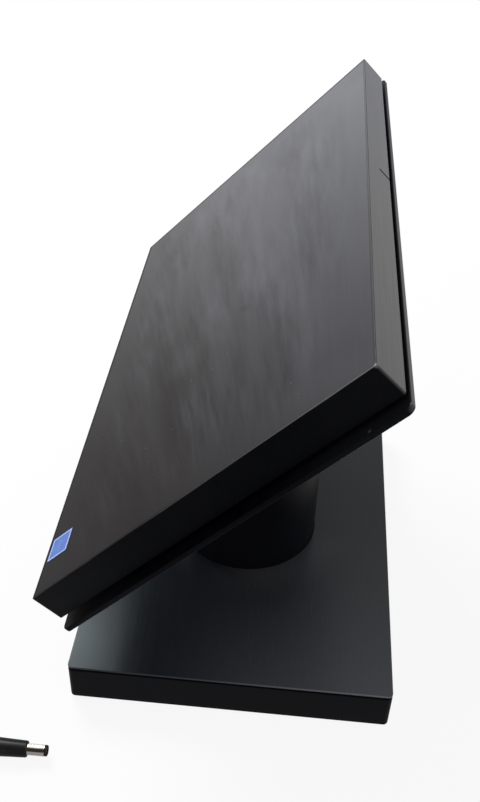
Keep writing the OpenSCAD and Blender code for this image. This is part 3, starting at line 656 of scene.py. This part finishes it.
def shellFinish(name, low, high, look):
    look = {**shellLook, **look}
    material, shader, wire = coatedFinish(name, look)
    here, hairline, cloud, grain = coatLayers(wire, look, True)
    x, y, z = axes(wire, here)
    # The upper wall's gloss fades round the near corner
    corner = look["corner"]
    turning = atWall(x, high.x, (1.1 * corner, 0.9 * corner)) * atWall(y, high.y, (0.85 * corner, 0))
    upperWall = wire.math("MAXIMUM", atWall(y, high.y, look["skin"]), turning)
    start, end = look["rimInset"]
    inward = x.step(low.x + start, low.x + end) * y.step(low.y + start, low.y + end)
    rim = atWall(z, high.z, look["skin"]) * inward
    nearRim = atWall(x, high.x, look["nearRim"])
    deep, shallow = look["skin"]
    back = 1 - z.step(low.z + shallow, low.z + deep)
    endWall = atWall(x, high.x, look["end"])
    nearEdge = atWall(z, high.z, look["edge"]) * endWall
    fromChip = wire.node("ShaderNodeVectorMath", {"operation": "DISTANCE"}, {0: here, 1: look["chip"]}, out="Value")
    chip = look["chipWear"] * (1 - fromChip.step(look["chipCore"], look["chipSize"]))
    wornAndPaintedHighlight = wire.math("MAXIMUM", look["wear"] * nearEdge * cloud.step(*look["cloudWear"]), chip)
    # Painted light: the ground is painted lighter at the lower end and towards the upper end, less so on the end wall
    start, end = look["paintedLowLightRun"]
    paintedLowLight = look["dustAndPaintedLight"] * (1 - y.step(low.y + start, low.y + end))
    paintedUpperLight = look["paintedUpperLight"] * atWall(y, high.y, (look["paintedUpperLightRun"], 0)) * (1 - look["endLessPaintedLight"] * endWall)
    shade = look["cloudShare"] * (0.5 * cloud + 0.5 * hairline).step(0.3, 0.7) + paintedLowLight + paintedUpperLight
    shade = shade.mix(look["dark"], look["light"])
    gloss = look["rim"] * rim * frontGloss(wire, x, y) * (1 + look["nearRimGain"] * nearRim)
    gloss = gloss + (look["upper"] + look["upperSlope"] * x) * upperWall + look["back"] * back
    # The upper wall is painted bluish towards its far end, a painted reflection
    paintedBlueReflection = upperWall * (1 - x.step(low.x, look["paintedBlueReflectionTo"]))
    shade = paintedBlueReflection.mix(shade, look["paintedBlueReflection"])
    feed(
        shader,
        Base_Color=wornAndPaintedHighlight.mix(shade, look["wornAndPaintedHighlight"]),
        Roughness=look["rough"] + look["roughSpread"] * (hairline - 0.5),
        Coat_Weight=gloss * (0.75 + 0.5 * hairline),
        Normal=bump(wire, hairline + 0.4 * grain, 0.000008),
    )
    return material


# The looks below also set how much painted light each shell gets at its lower and upper ends
finishes["housing"] = shellFinish(
    "housingCoat", housingLow, housingHigh,
    {
        "upper": 0.68, "upperSlope": 0.2, "corner": cornerRadius["housing"], "rim": 0.72, "back": 0.0, "wear": 0.30,
        "dustAndPaintedLight": 0.7, "paintedUpperLight": 0.245, "paintedUpperLightRun": 0.05, "endLessPaintedLight": 0.0, "chip": housingHigh, "chipSize": 0.0018,
        "chipWear": 0.9,
    },
)
finishes["plate"] = shellFinish(
    "plateCoat", plateLow, plateHigh,
    {
        "upper": 0.36, "upperSlope": 1.35, "corner": cornerRadius["plate"], "rim": 0.0, "back": 0.5, "wear": 0.03,
        "dustAndPaintedLight": 0.3, "paintedUpperLight": 1.0, "paintedUpperLightRun": 0.10, "endLessPaintedLight": 0.6, "chip": (0.1786, 0.1043, plateHigh.z),
        "chipSize": 0.0012, "chipWear": 0.35,
    },
)

# Base top: satin coat with faint lines along x, smoother towards the rear, an upper edge painted pale as painted
# highlight and wear, and painted light towards the near end and round the column's foot
topLook = {
    "dark": (0.0034, 0.0042, 0.0060), "light": (0.0080, 0.0096, 0.0130), "wornAndPaintedHighlight": (0.20, 0.21, 0.22),
    "paintedNearLight": (0.070, 0.071, 0.081), "paintedNearLightFrom": -0.03, "paintedNearLightPower": 1.5, "paintedNearLightSide": (-0.05, 0.04),
    "foot": 0.42, "footRun": 0.03, "footNear": (0.0, 0.03), "footSide": (-0.03, 0.01),
    "rough": 0.26, "frontRough": 0.19, "frontSide": (-0.06, 0.01), "edge": (0.0005, 0.0005 / 3), "frontHighlightShare": 0.15,
    "rearFrom": -0.02, "coat": 0.9, "coatAcross": (0.84, 3.0), "specular": 0.165, "specularTint": (0.80, 0.95, 1.0),
    "coatIndex": 1.2, "hairStretch": (0.03, 1, 1), "hairScale": 1500.0, "cloudScale": 20.0, "grainScale": 3600.0,
}


def baseTopFinish():
    look = topLook
    material, shader, wire = newFinish(
        "baseTopCoat",
        {
            "Specular IOR Level": look["specular"],
            "Specular Tint": look["specularTint"],
            "Coat IOR": look["coatIndex"],
            "Coat Roughness": look["rough"],
        },
    )
    here, hairline, cloud, grain = coatLayers(wire, look, False)
    x, y, z = axes(wire, here)
    rim = wire.math("MAXIMUM", x.size() - topHigh.x, y.size() - topHigh.y)
    rim = atWall(rim, 0, look["edge"]) * atWall(z, topHigh.z, look["edge"])
    rear = y.step(look["rearFrom"], topHigh.y)
    shade = (0.6 * cloud + 0.4 * hairline).step(0.2, 0.8)
    shade = shade.mix(look["dark"], look["light"])
    # Painted light: the ground is painted paler towards the near end
    near = wire.math("MAXIMUM", x - look["paintedNearLightFrom"], 0.0) / (topHigh.x - look["paintedNearLightFrom"])
    paintedNearLight = wire.math("POWER", near, look["paintedNearLightPower"]) * y.step(*look["paintedNearLightSide"])
    # Painted light: paler round the foot of the column, painted over its shadow
    foot = 1 - wire.math("SQRT", x * x + y * y).step(columnRadius, columnRadius + look["footRun"])
    foot = look["foot"] * foot * x.step(*look["footNear"]) * y.step(*look["footSide"])
    shade = ((paintedNearLight + foot) * (0.90 + 0.20 * hairline)).mix(shade, look["paintedNearLight"])
    duller = (look["rough"] - look["frontRough"]) * y.step(*look["frontSide"])
    atMiddle, perMetre = look["coatAcross"]
    # The upper edge is painted pale, painted highlight and wear, more towards the rear
    wornAndPaintedHighlight = rim * (look["frontHighlightShare"] + (1 - look["frontHighlightShare"]) * rear)
    feed(
        shader,
        Base_Color=wornAndPaintedHighlight.mix(shade, look["wornAndPaintedHighlight"]),
        Roughness=look["frontRough"] + duller + 0.09 * (hairline - 0.5),
        Coat_Weight=look["coat"] * rear * (atMiddle + perMetre * x) * (0.92 + 0.16 * hairline),
        Normal=bump(wire, 0.6 * hairline + 0.6 * grain, 0.000005),
    )
    return material


finishes["base"] = baseTopFinish()

# Label: plain blue print with a pale frame line
labelLook = {
    "blue": (0.075, 0.175, 0.54), "deep": (0.04, 0.115, 0.43), "pale": (0.46, 0.53, 0.80),
    "frameFrom": 0.0004, "frameTo": 0.0011, "frameSoft": 0.0002, "inkScale": 160.0,
}


def labelFinish():
    material, shader, wire = newFinish("labelPrint", {"Specular IOR Level": 0.3})
    here = place(wire, onHead=True)
    x, y = axes(wire, here)[:2]
    middle = (labelLow + labelHigh) / 2
    half = (labelHigh - labelLow) / 2
    depth = wire.math("MINIMUM", half.x - (x - middle.x).size(), half.y - (y - middle.y).size())
    start, end, soft = labelLook["frameFrom"], labelLook["frameTo"], labelLook["frameSoft"]
    line = depth.step(start, start + soft) * (1 - depth.step(end, end + soft))
    ink = noise(wire, here, labelLook["inkScale"], 3.0)
    blue = ink.step(0.3, 0.7).mix(labelLook["deep"], labelLook["blue"])
    feed(
        shader,
        Base_Color=line.mix(blue, labelLook["pale"]),
        Roughness=0.38 + 0.1 * ink,
        Normal=bump(wire, ink, 0.000006),
    )
    return material


finishes["label"] = labelFinish()

# The other coats, plastics and metals: material, dark and light shade, gloss, scales of streak and grain, and the rest
metal = {"Metallic": 1.0}
plainLooks = {
    # The column is painted paler at its foot, painted light
    "column": ("columnCoat", (0.0006, 0.0008, 0.0018), (0.0020, 0.0022, 0.0034), 0.42, 260.0, 3600.0,
        {"depth": 0.000012, "below": (0.0048, 0.0051, 0.0076), "belowTo": (0.045, 0.085),
         "constants": {"Specular IOR Level": 0.095}}),
    "basePlastic": ("basePlastic", (0.0014, 0.0014, 0.0026), (0.0032, 0.0033, 0.0052), 0.48, 300.0, 2600.0,
        {"depth": 0.00002, "constants": {"Specular IOR Level": 0.032}}),
    "innerPlastic": ("innerPlastic", (0.012, 0.012, 0.012), (0.020, 0.020, 0.020), 0.5, 300.0, 3000.0,
        {"depth": 0.00002}),
    "rubber": ("footRubber", (0.014, 0.014, 0.014), (0.024, 0.024, 0.023), 0.75, 500.0, 2400.0,
        {"depth": 0.00003}),
    "steel": ("zincSteel", (0.42, 0.42, 0.43), (0.56, 0.56, 0.56), 0.32, 1500.0, 4000.0,
        {"glossSpread": 0.2, "stretch": (1, 0.1, 1), "constants": metal}),
    "blackSteel": ("blackSteel", (0.02, 0.02, 0.021), (0.035, 0.035, 0.036), 0.4, 700.0, 3600.0,
        {"glossSpread": 0.15}),
    # The plug barrel is painted darker and browner below its top, a painted reflection
    "nickel": ("plugNickel", (0.62, 0.60, 0.57), (0.74, 0.72, 0.69), 0.18, 2600.0, 6000.0,
        {"stretch": (0.1, 1, 0.1), "depth": 0.000004, "below": (0.27, 0.245, 0.22), "belowTo": (0.00675, 0.0081),
         "constants": metal}),
    "bronze": ("washerBronze", (0.38, 0.25, 0.10), (0.52, 0.36, 0.16), 0.4, 600.0, 3000.0,
        {"glossSpread": 0.15, "constants": metal}),
    "cast": ("castAlloy", (0.16, 0.16, 0.165), (0.24, 0.24, 0.245), 0.46, 300.0, 1600.0,
        {"glossSpread": 0.15, "depth": 0.00004, "constants": metal}),
    "sink": ("sinkAluminium", (0.5, 0.5, 0.51), (0.62, 0.62, 0.62), 0.35, 900.0, 3000.0,
        {"glossSpread": 0.15, "stretch": (1, 0.05, 1), "constants": metal}),
    "board": ("circuitBoard", (0.012, 0.05, 0.025), (0.03, 0.13, 0.06), 0.35, 900.0, 1800.0,
        {"depth": 0.00002}),
    "panel": ("panelGlass", (0.008, 0.008, 0.010), (0.012, 0.012, 0.015), 0.2, 200.0, 3000.0,
        {"glossSpread": 0.05, "depth": 0.000002}),
    "diffuser": ("diffuserFilm", (0.72, 0.72, 0.70), (0.82, 0.82, 0.80), 0.5, 200.0, 3000.0,
        {"depth": 0.000004}),
    "strap": ("tieStrap", (0.008, 0.008, 0.008), (0.022, 0.022, 0.022), 0.8, 1400.0, 2600.0,
        {"stretch": (1, 3, 1), "depth": 0.0001}),
}
for finish, (name, dark, light, gloss, streak, grain, rest) in plainLooks.items():
    look = {"dark": dark, "light": light, "gloss": gloss, "streak": streak, "grain": grain, **rest}
    finishes[finish] = grainedFinish(name, look)
print("finishes mixed:", len(finishes))

# Base: a coated top plate over a plain body, with a shadow line between them
baseLook = {
    "corner": 3.0 * mm, "edge": 1.0 * mm, "topRim": 0.35 * mm, "lipInset": 0.7 * mm, "bottomRim": 0.6 * mm,
    "bodyRim": 1.0 * mm, "wall": 3.0 * mm, "slack": 0.3 * mm, "columnGap": 0.4 * mm, "overlap": 0.1 * mm,
}
bodyLow, bodyHigh = spans("base_body")


def buildBaseTop():
    low, high = topLow, topHigh
    edgeLow = high.z - baseLook["edge"]
    plate = block("baseTop", (low.x, low.y, edgeLow), high)
    roundEdges(plate, upright, baseLook["corner"], 6)
    under = lambda level: lambda f: f.normal.z < -0.9 and atLevel(level)(f)
    stepFace(plate, under(edgeLow), baseLook["lipInset"], bodyHigh.z - edgeLow)
    roundEdges(plate, atLevel(high.z), baseLook["topRim"])
    inner = baseLook["wall"] + baseLook["slack"]
    tray = block(
        "baseTray",
        (bodyLow.x + inner, bodyLow.y + inner, low.z),
        (bodyHigh.x - inner, bodyHigh.y - inner, bodyHigh.z + baseLook["overlap"]),
    )
    join(plate, tray)
    cut(plate, drum("columnHole", columnRadius + baseLook["columnGap"], low.z - mm, high.z + mm))
    return settle(plate, "stand", "base", ["base_top"])


def buildBaseBody():
    low, high = bodyLow, bodyHigh
    body = block("baseBody", low, high)
    roundEdges(body, upright, baseLook["corner"], 6)
    choose(body, "FACE", lambda f: abs(f.normal.z) > 0.9)
    bpy.ops.mesh.delete(type="FACE")
    modify(body, "SOLIDIFY", thickness=baseLook["wall"], offset=-1, use_even_offset=True)
    outer = lambda e: all(
        max(abs(v.co.x) - high.x, abs(v.co.y) - high.y) > -0.4 * baseLook["wall"] for v in e.verts
    )
    roundEdges(body, lambda e: atLevel(low.z)(e) and outer(e), baseLook["bottomRim"])
    roundEdges(body, lambda e: atLevel(high.z)(e) and outer(e), baseLook["bodyRim"])
    return settle(body, "stand", "basePlastic", ["base_body"])


buildBaseTop()
buildBaseBody()
print("base modelled")

# Column: a round post sliced parallel to the screen, and the cap on its slanted end
columnLook = {"sides": 160, "rim": 0.4 * mm, "capRim": 0.8 * mm, "capDrop": 22.0 * mm, "capThickness": 4.0 * mm}
slant = headPlace.to_3x3() @ Vector((0, 0, 1))


def sliced(piece, drop, keepBelow):
    editAll(piece)
    bpy.ops.mesh.bisect(
        plane_co=hinge - slant * drop,
        plane_no=slant,
        use_fill=True,
        clear_outer=keepBelow,
        clear_inner=not keepBelow,
    )
    leaveEdit()


def onSlant(drop):
    return lambda e: all(abs((v.co - hinge).dot(slant) + drop) < 1e-5 for v in e.verts)


def buildColumn():
    top = hinge.z + 2 * columnRadius
    seam = columnLook["capDrop"] + columnLook["capThickness"]
    post = drum("columnPost", columnRadius, columnLow.z, top, sides=columnLook["sides"])
    sliced(post, seam, True)
    roundEdges(post, onSlant(seam), columnLook["rim"], 2)
    settle(post, "stand", "column", ["column_tube"])
    cap = drum("columnCap", columnRadius, columnLow.z, top, sides=columnLook["sides"])
    sliced(cap, columnLook["capDrop"], True)
    sliced(cap, seam, False)
    roundEdges(cap, onSlant(columnLook["capDrop"]), columnLook["capRim"])
    roundEdges(cap, onSlant(seam), columnLook["rim"] / 2, 2)
    settle(cap, "stand", "basePlastic", ["column_cap"])


buildColumn()
print("column modelled")

# Head: housing, glass, back plate and label, modelled flat and then tilted into place
headLook = {
    "wall": 1.2 * mm, "rim": 0.4 * mm, "ledge": 6.0 * mm, "ledgeThickness": 1.5 * mm, "backWall": 1.5 * mm,
    "glassCorner": 0.5 * mm, "glassRim": 0.12 * mm, "glassGrow": 0.2 * mm, "plateRim": 0.5 * mm,
    "slack": 0.15 * mm, "buttonLap": (0, 1.0 * mm, 0.5 * mm), "buttonCorner": 2.2 * mm,
    "screwHole": 2.8 * mm, "screwHoleDepth": 1.4 * mm, "screwRadius": 2.6 * mm, "screwDepth": 1.5 * mm,
    "screwShank": 1.25 * mm, "recess": (2.6 * mm, 0.6 * mm), "recessDepth": 0.9 * mm,
    "labelCorner": 0.8 * mm, "labelRim": 0.06 * mm, "seam": (1.8 * mm, 1.4 * mm, 8.6 * mm), "seamX": -16.0 * mm,
    "ventStep": 8.0 * mm, "ventCount": 13, "vent": (2.4 * mm, 12.0 * mm), "ventEdge": 27.2 * mm,
}
inPlane = Vector((1, 1, 0))


def buildHousing():
    low, high = housingLow, housingHigh
    shell = block("headHousing", low, high)
    roundEdges(shell, upright, cornerRadius["housing"], 6)
    half = (high - low) / 2
    for level in (high.z, low.z):
        roundEdges(shell, atLevel(level), headLook["rim"])
    # Recess for the glass, the mouth inside the ledge, and the room behind it
    inside = half - inPlane * headLook["wall"]
    mouth = inside - inPlane * headLook["ledge"]
    ledgeLow = gasketLow.z - headLook["ledgeThickness"]
    for reach, bottom, top in (
        (inside, gasketLow.z, high.z + mm),
        (mouth, ledgeLow - 0.5 * mm, gasketLow.z + 0.5 * mm),
        (inside, low.z + headLook["backWall"], ledgeLow),
    ):
        room = block(
            "room",
            (faceMiddle.x - reach.x, faceMiddle.y - reach.y, bottom),
            (faceMiddle.x + reach.x, faceMiddle.y + reach.y, top),
        )
        roundEdges(room, upright, headLook["glassCorner"], 4)
        cut(shell, room)
    # The short seam in the upper wall, then holes for the sockets and the button
    wide, deep, tall = headLook["seam"]
    x = faceMiddle.x + headLook["seamX"]
    seam = block("seam", (x - wide / 2, high.y - deep / 2, low.z - mm), (x + wide / 2, high.y + mm, low.z + tall))
    cut(shell, seam)
    reach = 3 * headLook["wall"]
    for node in ("dc_jack", "usb_sockets", "power_button"):
        for boxLow, boxHigh in solids(node, toHead):
            gap = Vector((0, 1, 1)) * headLook["slack"]
            if node == "power_button":
                gap -= Vector(headLook["buttonLap"])
            hole = block("sideHole", boxLow - gap, boxHigh + gap)
            hole.data.transform(Matrix.Translation((low.x - boxLow.x - reach / 2, 0, 0)))
            for v in hole.data.vertices:
                v.co.x = min(v.co.x, low.x + reach / 2)
            if node == "power_button":
                roundEdges(hole, lambda e: abs(e.verts[0].co.x - e.verts[1].co.x) > mm, headLook["buttonCorner"], 6)
            cut(shell, hole)
    # Air slots in the back wall
    slotWide, slotLong = headLook["vent"]
    for side in (-1, 1):
        for end in (-1, 1):
            x = side * headLook["ventStep"]
            y = faceMiddle.y + end * (half.y - headLook["ventEdge"])
            slot = block(
                "airSlots",
                (x - slotWide / 2, y - slotLong / 2, low.z - mm),
                (x + slotWide / 2, y + slotLong / 2, low.z + headLook["backWall"] + mm),
            )
            modify(
                slot, "ARRAY", count=headLook["ventCount"], use_relative_offset=False, use_constant_offset=True,
                constant_offset_displace=(x, 0, 0),
            )
            cut(shell, slot)
    # The cuts leave slivers on the flat walls, so their triangles are drawn anew
    choose(shell, "FACE", lambda f: True)
    bpy.ops.mesh.quads_convert_to_tris(quad_method="BEAUTY", ngon_method="BEAUTY")
    bpy.ops.mesh.beautify_fill(angle_limit=math.radians(1))
    leaveEdit()
    return settle(shell, "head", "housing", ["head_housing"], headPlace)


def buildGlass():
    grow = inPlane * headLook["glassGrow"]
    glass = block("touchGlass", glassLow - grow, glassHigh + grow)
    roundEdges(glass, upright, headLook["glassCorner"], 4)
    roundEdges(glass, atLevel(glassHigh.z), headLook["glassRim"])
    return settle(glass, "head", "screen", ["touch_glass"], headPlace)


def buildBackPlate():
    low, high = plateLow, plateHigh
    plate = block("backPlate", low, high)
    roundEdges(plate, upright, cornerRadius["plate"], 8)
    for level in (low.z, high.z):
        roundEdges(plate, atLevel(level), headLook["plateRim"])
    for boxLow, boxHigh in solids("rear_screws", toHead):
        spot = (boxLow + boxHigh) / 2
        floor = low.z + headLook["screwHoleDepth"]
        cut(plate, drum("screwHole", headLook["screwHole"], low.z - mm, floor, spot, 48))
    return settle(plate, "head", "plate", ["rear_plate"], headPlace)


# One countersunk screw with a cross recess, then a copy for each place
def buildRearScrews():
    places = solids("rear_screws", toHead)
    back, tip = places[0][0].z, places[0][1].z
    head, shank = headLook["screwRadius"], headLook["screwShank"]
    deep = headLook["screwDepth"]
    screw = turned(
        "rearScrew",
        [
            (head - 0.15 * mm, back), (head, back + 0.12 * mm), (head, back + 0.3 * mm), (shank, back + deep),
            (shank, tip - 0.5 * mm), (shank - 0.4 * mm, tip),
        ],
        40,
    )
    long, wide = headLook["recess"]
    for reach in (Vector((long, wide, 0)), Vector((wide, long, 0))):
        floor = Vector((0, 0, back + headLook["recessDepth"]))
        cut(screw, block("recessArm", Vector((0, 0, back - mm)) - reach / 2, floor + reach / 2))
    for low, high in places:
        copy = addObject("rearScrew", screw.data.copy())
        spot = (low + high) / 2
        turn = Matrix.Rotation(spot.x * 37, 4, "Z")
        settle(
            copy, "head", "blackSteel", ["rear_screws"],
            headPlace @ Matrix.Translation((spot.x, spot.y, 0)) @ turn,
        )
    bpy.data.objects.remove(screw)


def buildLabel():
    low, high = labelLow, labelHigh
    label = block("plainLabel", low, high)
    roundEdges(label, upright, headLook["labelCorner"], 4)
    roundEdges(label, atLevel(high.z), headLook["labelRim"], 2)
    return settle(label, "head", "label", ["badge_label"], headPlace)


buildHousing()
buildGlass()
buildBackPlate()
buildRearScrews()
buildLabel()
print("head modelled")

# Hinge, sockets and button: the solids' own shapes with their edges broken, by this much
brokenEdges = {
    "hingeBracket": ("hinge_bracket", 0.5 * mm, "head", "hinge_coat", "blackSteel"),
    "hingeYoke": ("hinge_yoke", 0.6 * mm, "stand", "hinge_cast", "cast"),
    "hingePin": ("hinge_pin", 0.35 * mm, "stand", "screw_steel", "steel"),
    "hingeNut": ("hinge_nut", 0.3 * mm, "stand", "screw_steel", "steel"),
    "bracketScrews": ("bracket_screws", 0.25 * mm, "head", "screw_steel", "steel"),
    "supplySocket": ("dc_jack", 0.25 * mm, "head", "inner_plastic", "innerPlastic"),
    "dataSockets": ("usb_sockets", 0.12 * mm, "head", "screw_steel", "steel"),
    "powerButton": ("power_button", 0.3 * mm, "power_button", "button_plastic", "innerPlastic"),
}
for name, (node, width, body, slot, finish) in brokenEdges.items():
    settle(softened(name, node, width), body, finish, [node])
print("hinge modelled")

# Plug: turned pieces along the lead's first stretch
plugTurn = Matrix.Rotation(lead["turn"], 4, "Z") @ Matrix.Rotation(math.pi / 2, 4, "X")
plugPlace = Matrix.Translation(plugNose) @ plugTurn
plugLook = {
    "barrelRadius": 3.2 * mm, "ringLength": 1.6 * mm, "ringWall": 0.6 * mm, "barrelWall": 0.7 * mm,
    "sunk": 4.0 * mm, "ringRim": 0.55 * mm, "barrelRim": 0.15 * mm, "reliefRadius": 4.1 * mm,
    "reliefEnd": 3.0 * mm, "reliefSunk": 3.0 * mm, "collar": 1.0 * mm, "ribs": 5, "ribsFrom": 2.0 * mm,
    "ribDepth": 0.45 * mm, "ribSlope": 0.15 * mm,
}


def buildPlug():
    nose, grip = lead["barrelLength"], lead["gripLength"]
    wide = lead["gripRadius"]
    tip, collar = lead["tipRadius"], plugLook["ringLength"]
    ring = turned("plugRing", [(tip, 0), (tip, collar)])
    boreThrough(ring, plugLook["ringWall"], (0, collar))
    outside = lambda radius: lambda e: all(v.co.xy.length > 0.98 * radius for v in e.verts)
    roundEdges(ring, lambda e: atLevel(0)(e) and outside(tip)(e), plugLook["ringRim"], 4)
    shaft, barrelEnd = plugLook["barrelRadius"], nose + plugLook["sunk"]
    barrel = turned("plugBarrel", [(shaft, collar), (shaft, barrelEnd)])
    boreThrough(barrel, plugLook["barrelWall"], (collar, barrelEnd))
    roundEdges(barrel, lambda e: atLevel(collar)(e) and outside(shaft)(e), plugLook["barrelRim"], 2)
    body = turned(
        "plugGrip",
        [
            (shaft, nose), (wide - 1.6 * mm, nose), (wide - 1.0 * mm, nose + 0.2 * mm),
            (wide - 0.7 * mm, nose + 0.8 * mm), (wide - 0.4 * mm, nose + 0.3 * grip), (wide, nose + 0.6 * grip),
            (wide - 0.1 * mm, nose + grip - 1.6 * mm), (wide - 0.5 * mm, nose + grip - 0.5 * mm),
            (wide - 1.0 * mm, nose + grip), (plugLook["reliefRadius"], nose + grip),
        ],
    )
    settle(ring, "stand", "tip", ["plug_tip_ring"], plugPlace)
    settle(barrel, "stand", "nickel", ["plug_barrel"], plugPlace)
    settle(body, "stand", "grip", ["plug_body"], plugPlace)
    return [ring, barrel, body]


def buildRelief():
    start = lead["barrelLength"] + lead["gripLength"]
    end = start + lead["reliefLength"]
    wide, ribsFrom = plugLook["reliefRadius"], plugLook["ribsFrom"]
    pitch = (lead["reliefLength"] - 2 * ribsFrom) / plugLook["ribs"]
    slope = (wide - plugLook["reliefEnd"]) / lead["reliefLength"]
    profile = [(wide, start - plugLook["reliefSunk"]), (wide, start + plugLook["collar"])]
    for i in range(plugLook["ribs"]):
        run = ribsFrom + i * pitch
        crest = wide - slope * run
        valley = crest - plugLook["ribDepth"]
        profile += [
            (valley, start + run), (crest, start + run + plugLook["ribSlope"]), (crest, start + run + 0.5 * pitch),
            (valley, start + run + 0.55 * pitch),
        ]
    profile.append((plugLook["reliefEnd"] - 0.4 * mm, end))
    relief = turned("leadRelief", profile)
    return settle(relief, "stand", "vinyl", ["strain_relief"], plugPlace)


plugPieces = buildPlug() + [buildRelief()]
leadStrap = settle(softened("leadStrap", "lead_tie", 0.3 * mm), "stand", "strap", ["lead_tie"])
socket = softened("leadSocket", "lead_socket", 0.3 * mm)
leadSocket = settle(socket, "stand", "vinyl", ["lead_socket"])
print("plug and lead modelled")

# Nodes that keep their own solid get a finish
kept = {
    "steel": [
        "ballast_plate", "base_screws", "column_flange", "flange_screws", "yoke_screws",
        "spring_washers", "bracket_nuts", "panel_frame", "panel_screws", "board_screws",
    ],
    "basePlastic": ["base_bottom"],
    "rubber": ["rubber_feet", "glass_gasket"],
    "bronze": ["friction_washers"],
    "innerPlastic": ["mounting_spacer", "standoffs", "speakers", "button_switch"],
    "panel": ["lcd_panel"],
    "diffuser": ["backlight_unit"],
    "board": ["main_board", "storage_drive", "memory_module", "io_board"],
    "sink": ["heat_sink"],
}
for finish, nodes in kept.items():
    for node in nodes:
        frame["nodes"][node].data.materials.clear()
        frame["nodes"][node].data.materials.append(finishes[finish])
print("kept nodes finished")

# Studio: pale floor, a large soft lamp behind and above, and an even sky
studio = {
    "floor": 60.0, "floorShade": 0.86, "floorGlow": 0.90, "fade": (0.45, 1.6), "sky": 0.5, "backdrop": 1.0,
    "keyPlace": (-0.86, -0.73, 1.18), "keyAim": (0, 0, 0.08), "keySize": 0.6, "keyPower": 21.0,
    "dimSide": (0.65, -0.15, 0.745), "dimSpan": (0.64, 0.88), "dimColour": (0.035, 0.022, 0.013),
}


def rays(wire):
    path = wire.node("ShaderNodeLightPath").socket.node.outputs
    return [Wire(wire.tree, path[name]) for name in ("Is Camera Ray", "Is Glossy Ray", "Is Transmission Ray")]


# 1 for rays from the camera, from gloss and through glass
def seenDirectly(wire):
    camera, gloss, glass = rays(wire)
    return wire.math("MINIMUM", camera + gloss + glass, 1.0)


def buildStudio():
    deselect()
    bpy.ops.mesh.primitive_plane_add(size=studio["floor"])
    floor = bpy.context.object
    floor.name = "studioFloor"
    shade = studio["floorShade"]
    material, shader, wire = newFinish(
        "floorPaper", {"Roughness": 0.9, "Specular IOR Level": 0.0, "Base Color": (shade, shade, shade)}
    )
    glow = wire.node("ShaderNodeEmission", None, {"Color": colour(1, 1, 1), "Strength": studio["backdrop"]})
    paper = Wire(material.node_tree, shader.outputs[0])
    # The floor fades into the backdrop far from the kiosk
    reach = wire.node("ShaderNodeVectorMath", {"operation": "LENGTH"}, {0: place(wire)}, out="Value")
    share = studio["floorGlow"] + (1 - studio["floorGlow"]) * reach.step(*studio["fade"])
    both = wire.node("ShaderNodeMixShader", None, {0: seenDirectly(wire) * share, 1: paper, 2: glow})
    material.node_tree.links.new(both.socket, material.node_tree.nodes["Material Output"].inputs["Surface"])
    floor.data.materials.append(material)
    data = bpy.data.lights.new("softKey", "AREA")
    data.shape = "SQUARE"
    data.size = studio["keySize"]
    data.energy = studio["keyPower"]
    key = addObject("softKey", data)
    key.location = studio["keyPlace"]
    aim = Vector(studio["keyAim"]) - key.location
    key.rotation_euler = aim.to_track_quat("-Z", "Y").to_euler()
    world = bpy.data.worlds.new("studioSky")
    world.use_nodes = True
    bpy.context.scene.world = world
    wire = Wire(world.node_tree)
    seen = seenDirectly(wire)
    sky = world.node_tree.nodes["Background"]
    level = studio["sky"] + seen * (studio["backdrop"] - studio["sky"])
    world.node_tree.links.new(level.socket, sky.inputs["Strength"])
    # Gloss finds one dim side of the room
    away = wire.node("ShaderNodeTexCoord", out="Generated")
    facing = wire.node(
        "ShaderNodeVectorMath", {"operation": "DOT_PRODUCT"}, {0: away, 1: studio["dimSide"]}, out="Value"
    )
    dim = rays(wire)[1] * facing.step(*studio["dimSpan"])
    tone = dim.mix((1, 1, 1), studio["dimColour"])
    world.node_tree.links.new(tone.socket, sky.inputs["Color"])


buildStudio()
bpy.context.scene.view_settings.view_transform = "Standard"
print("studio lit")
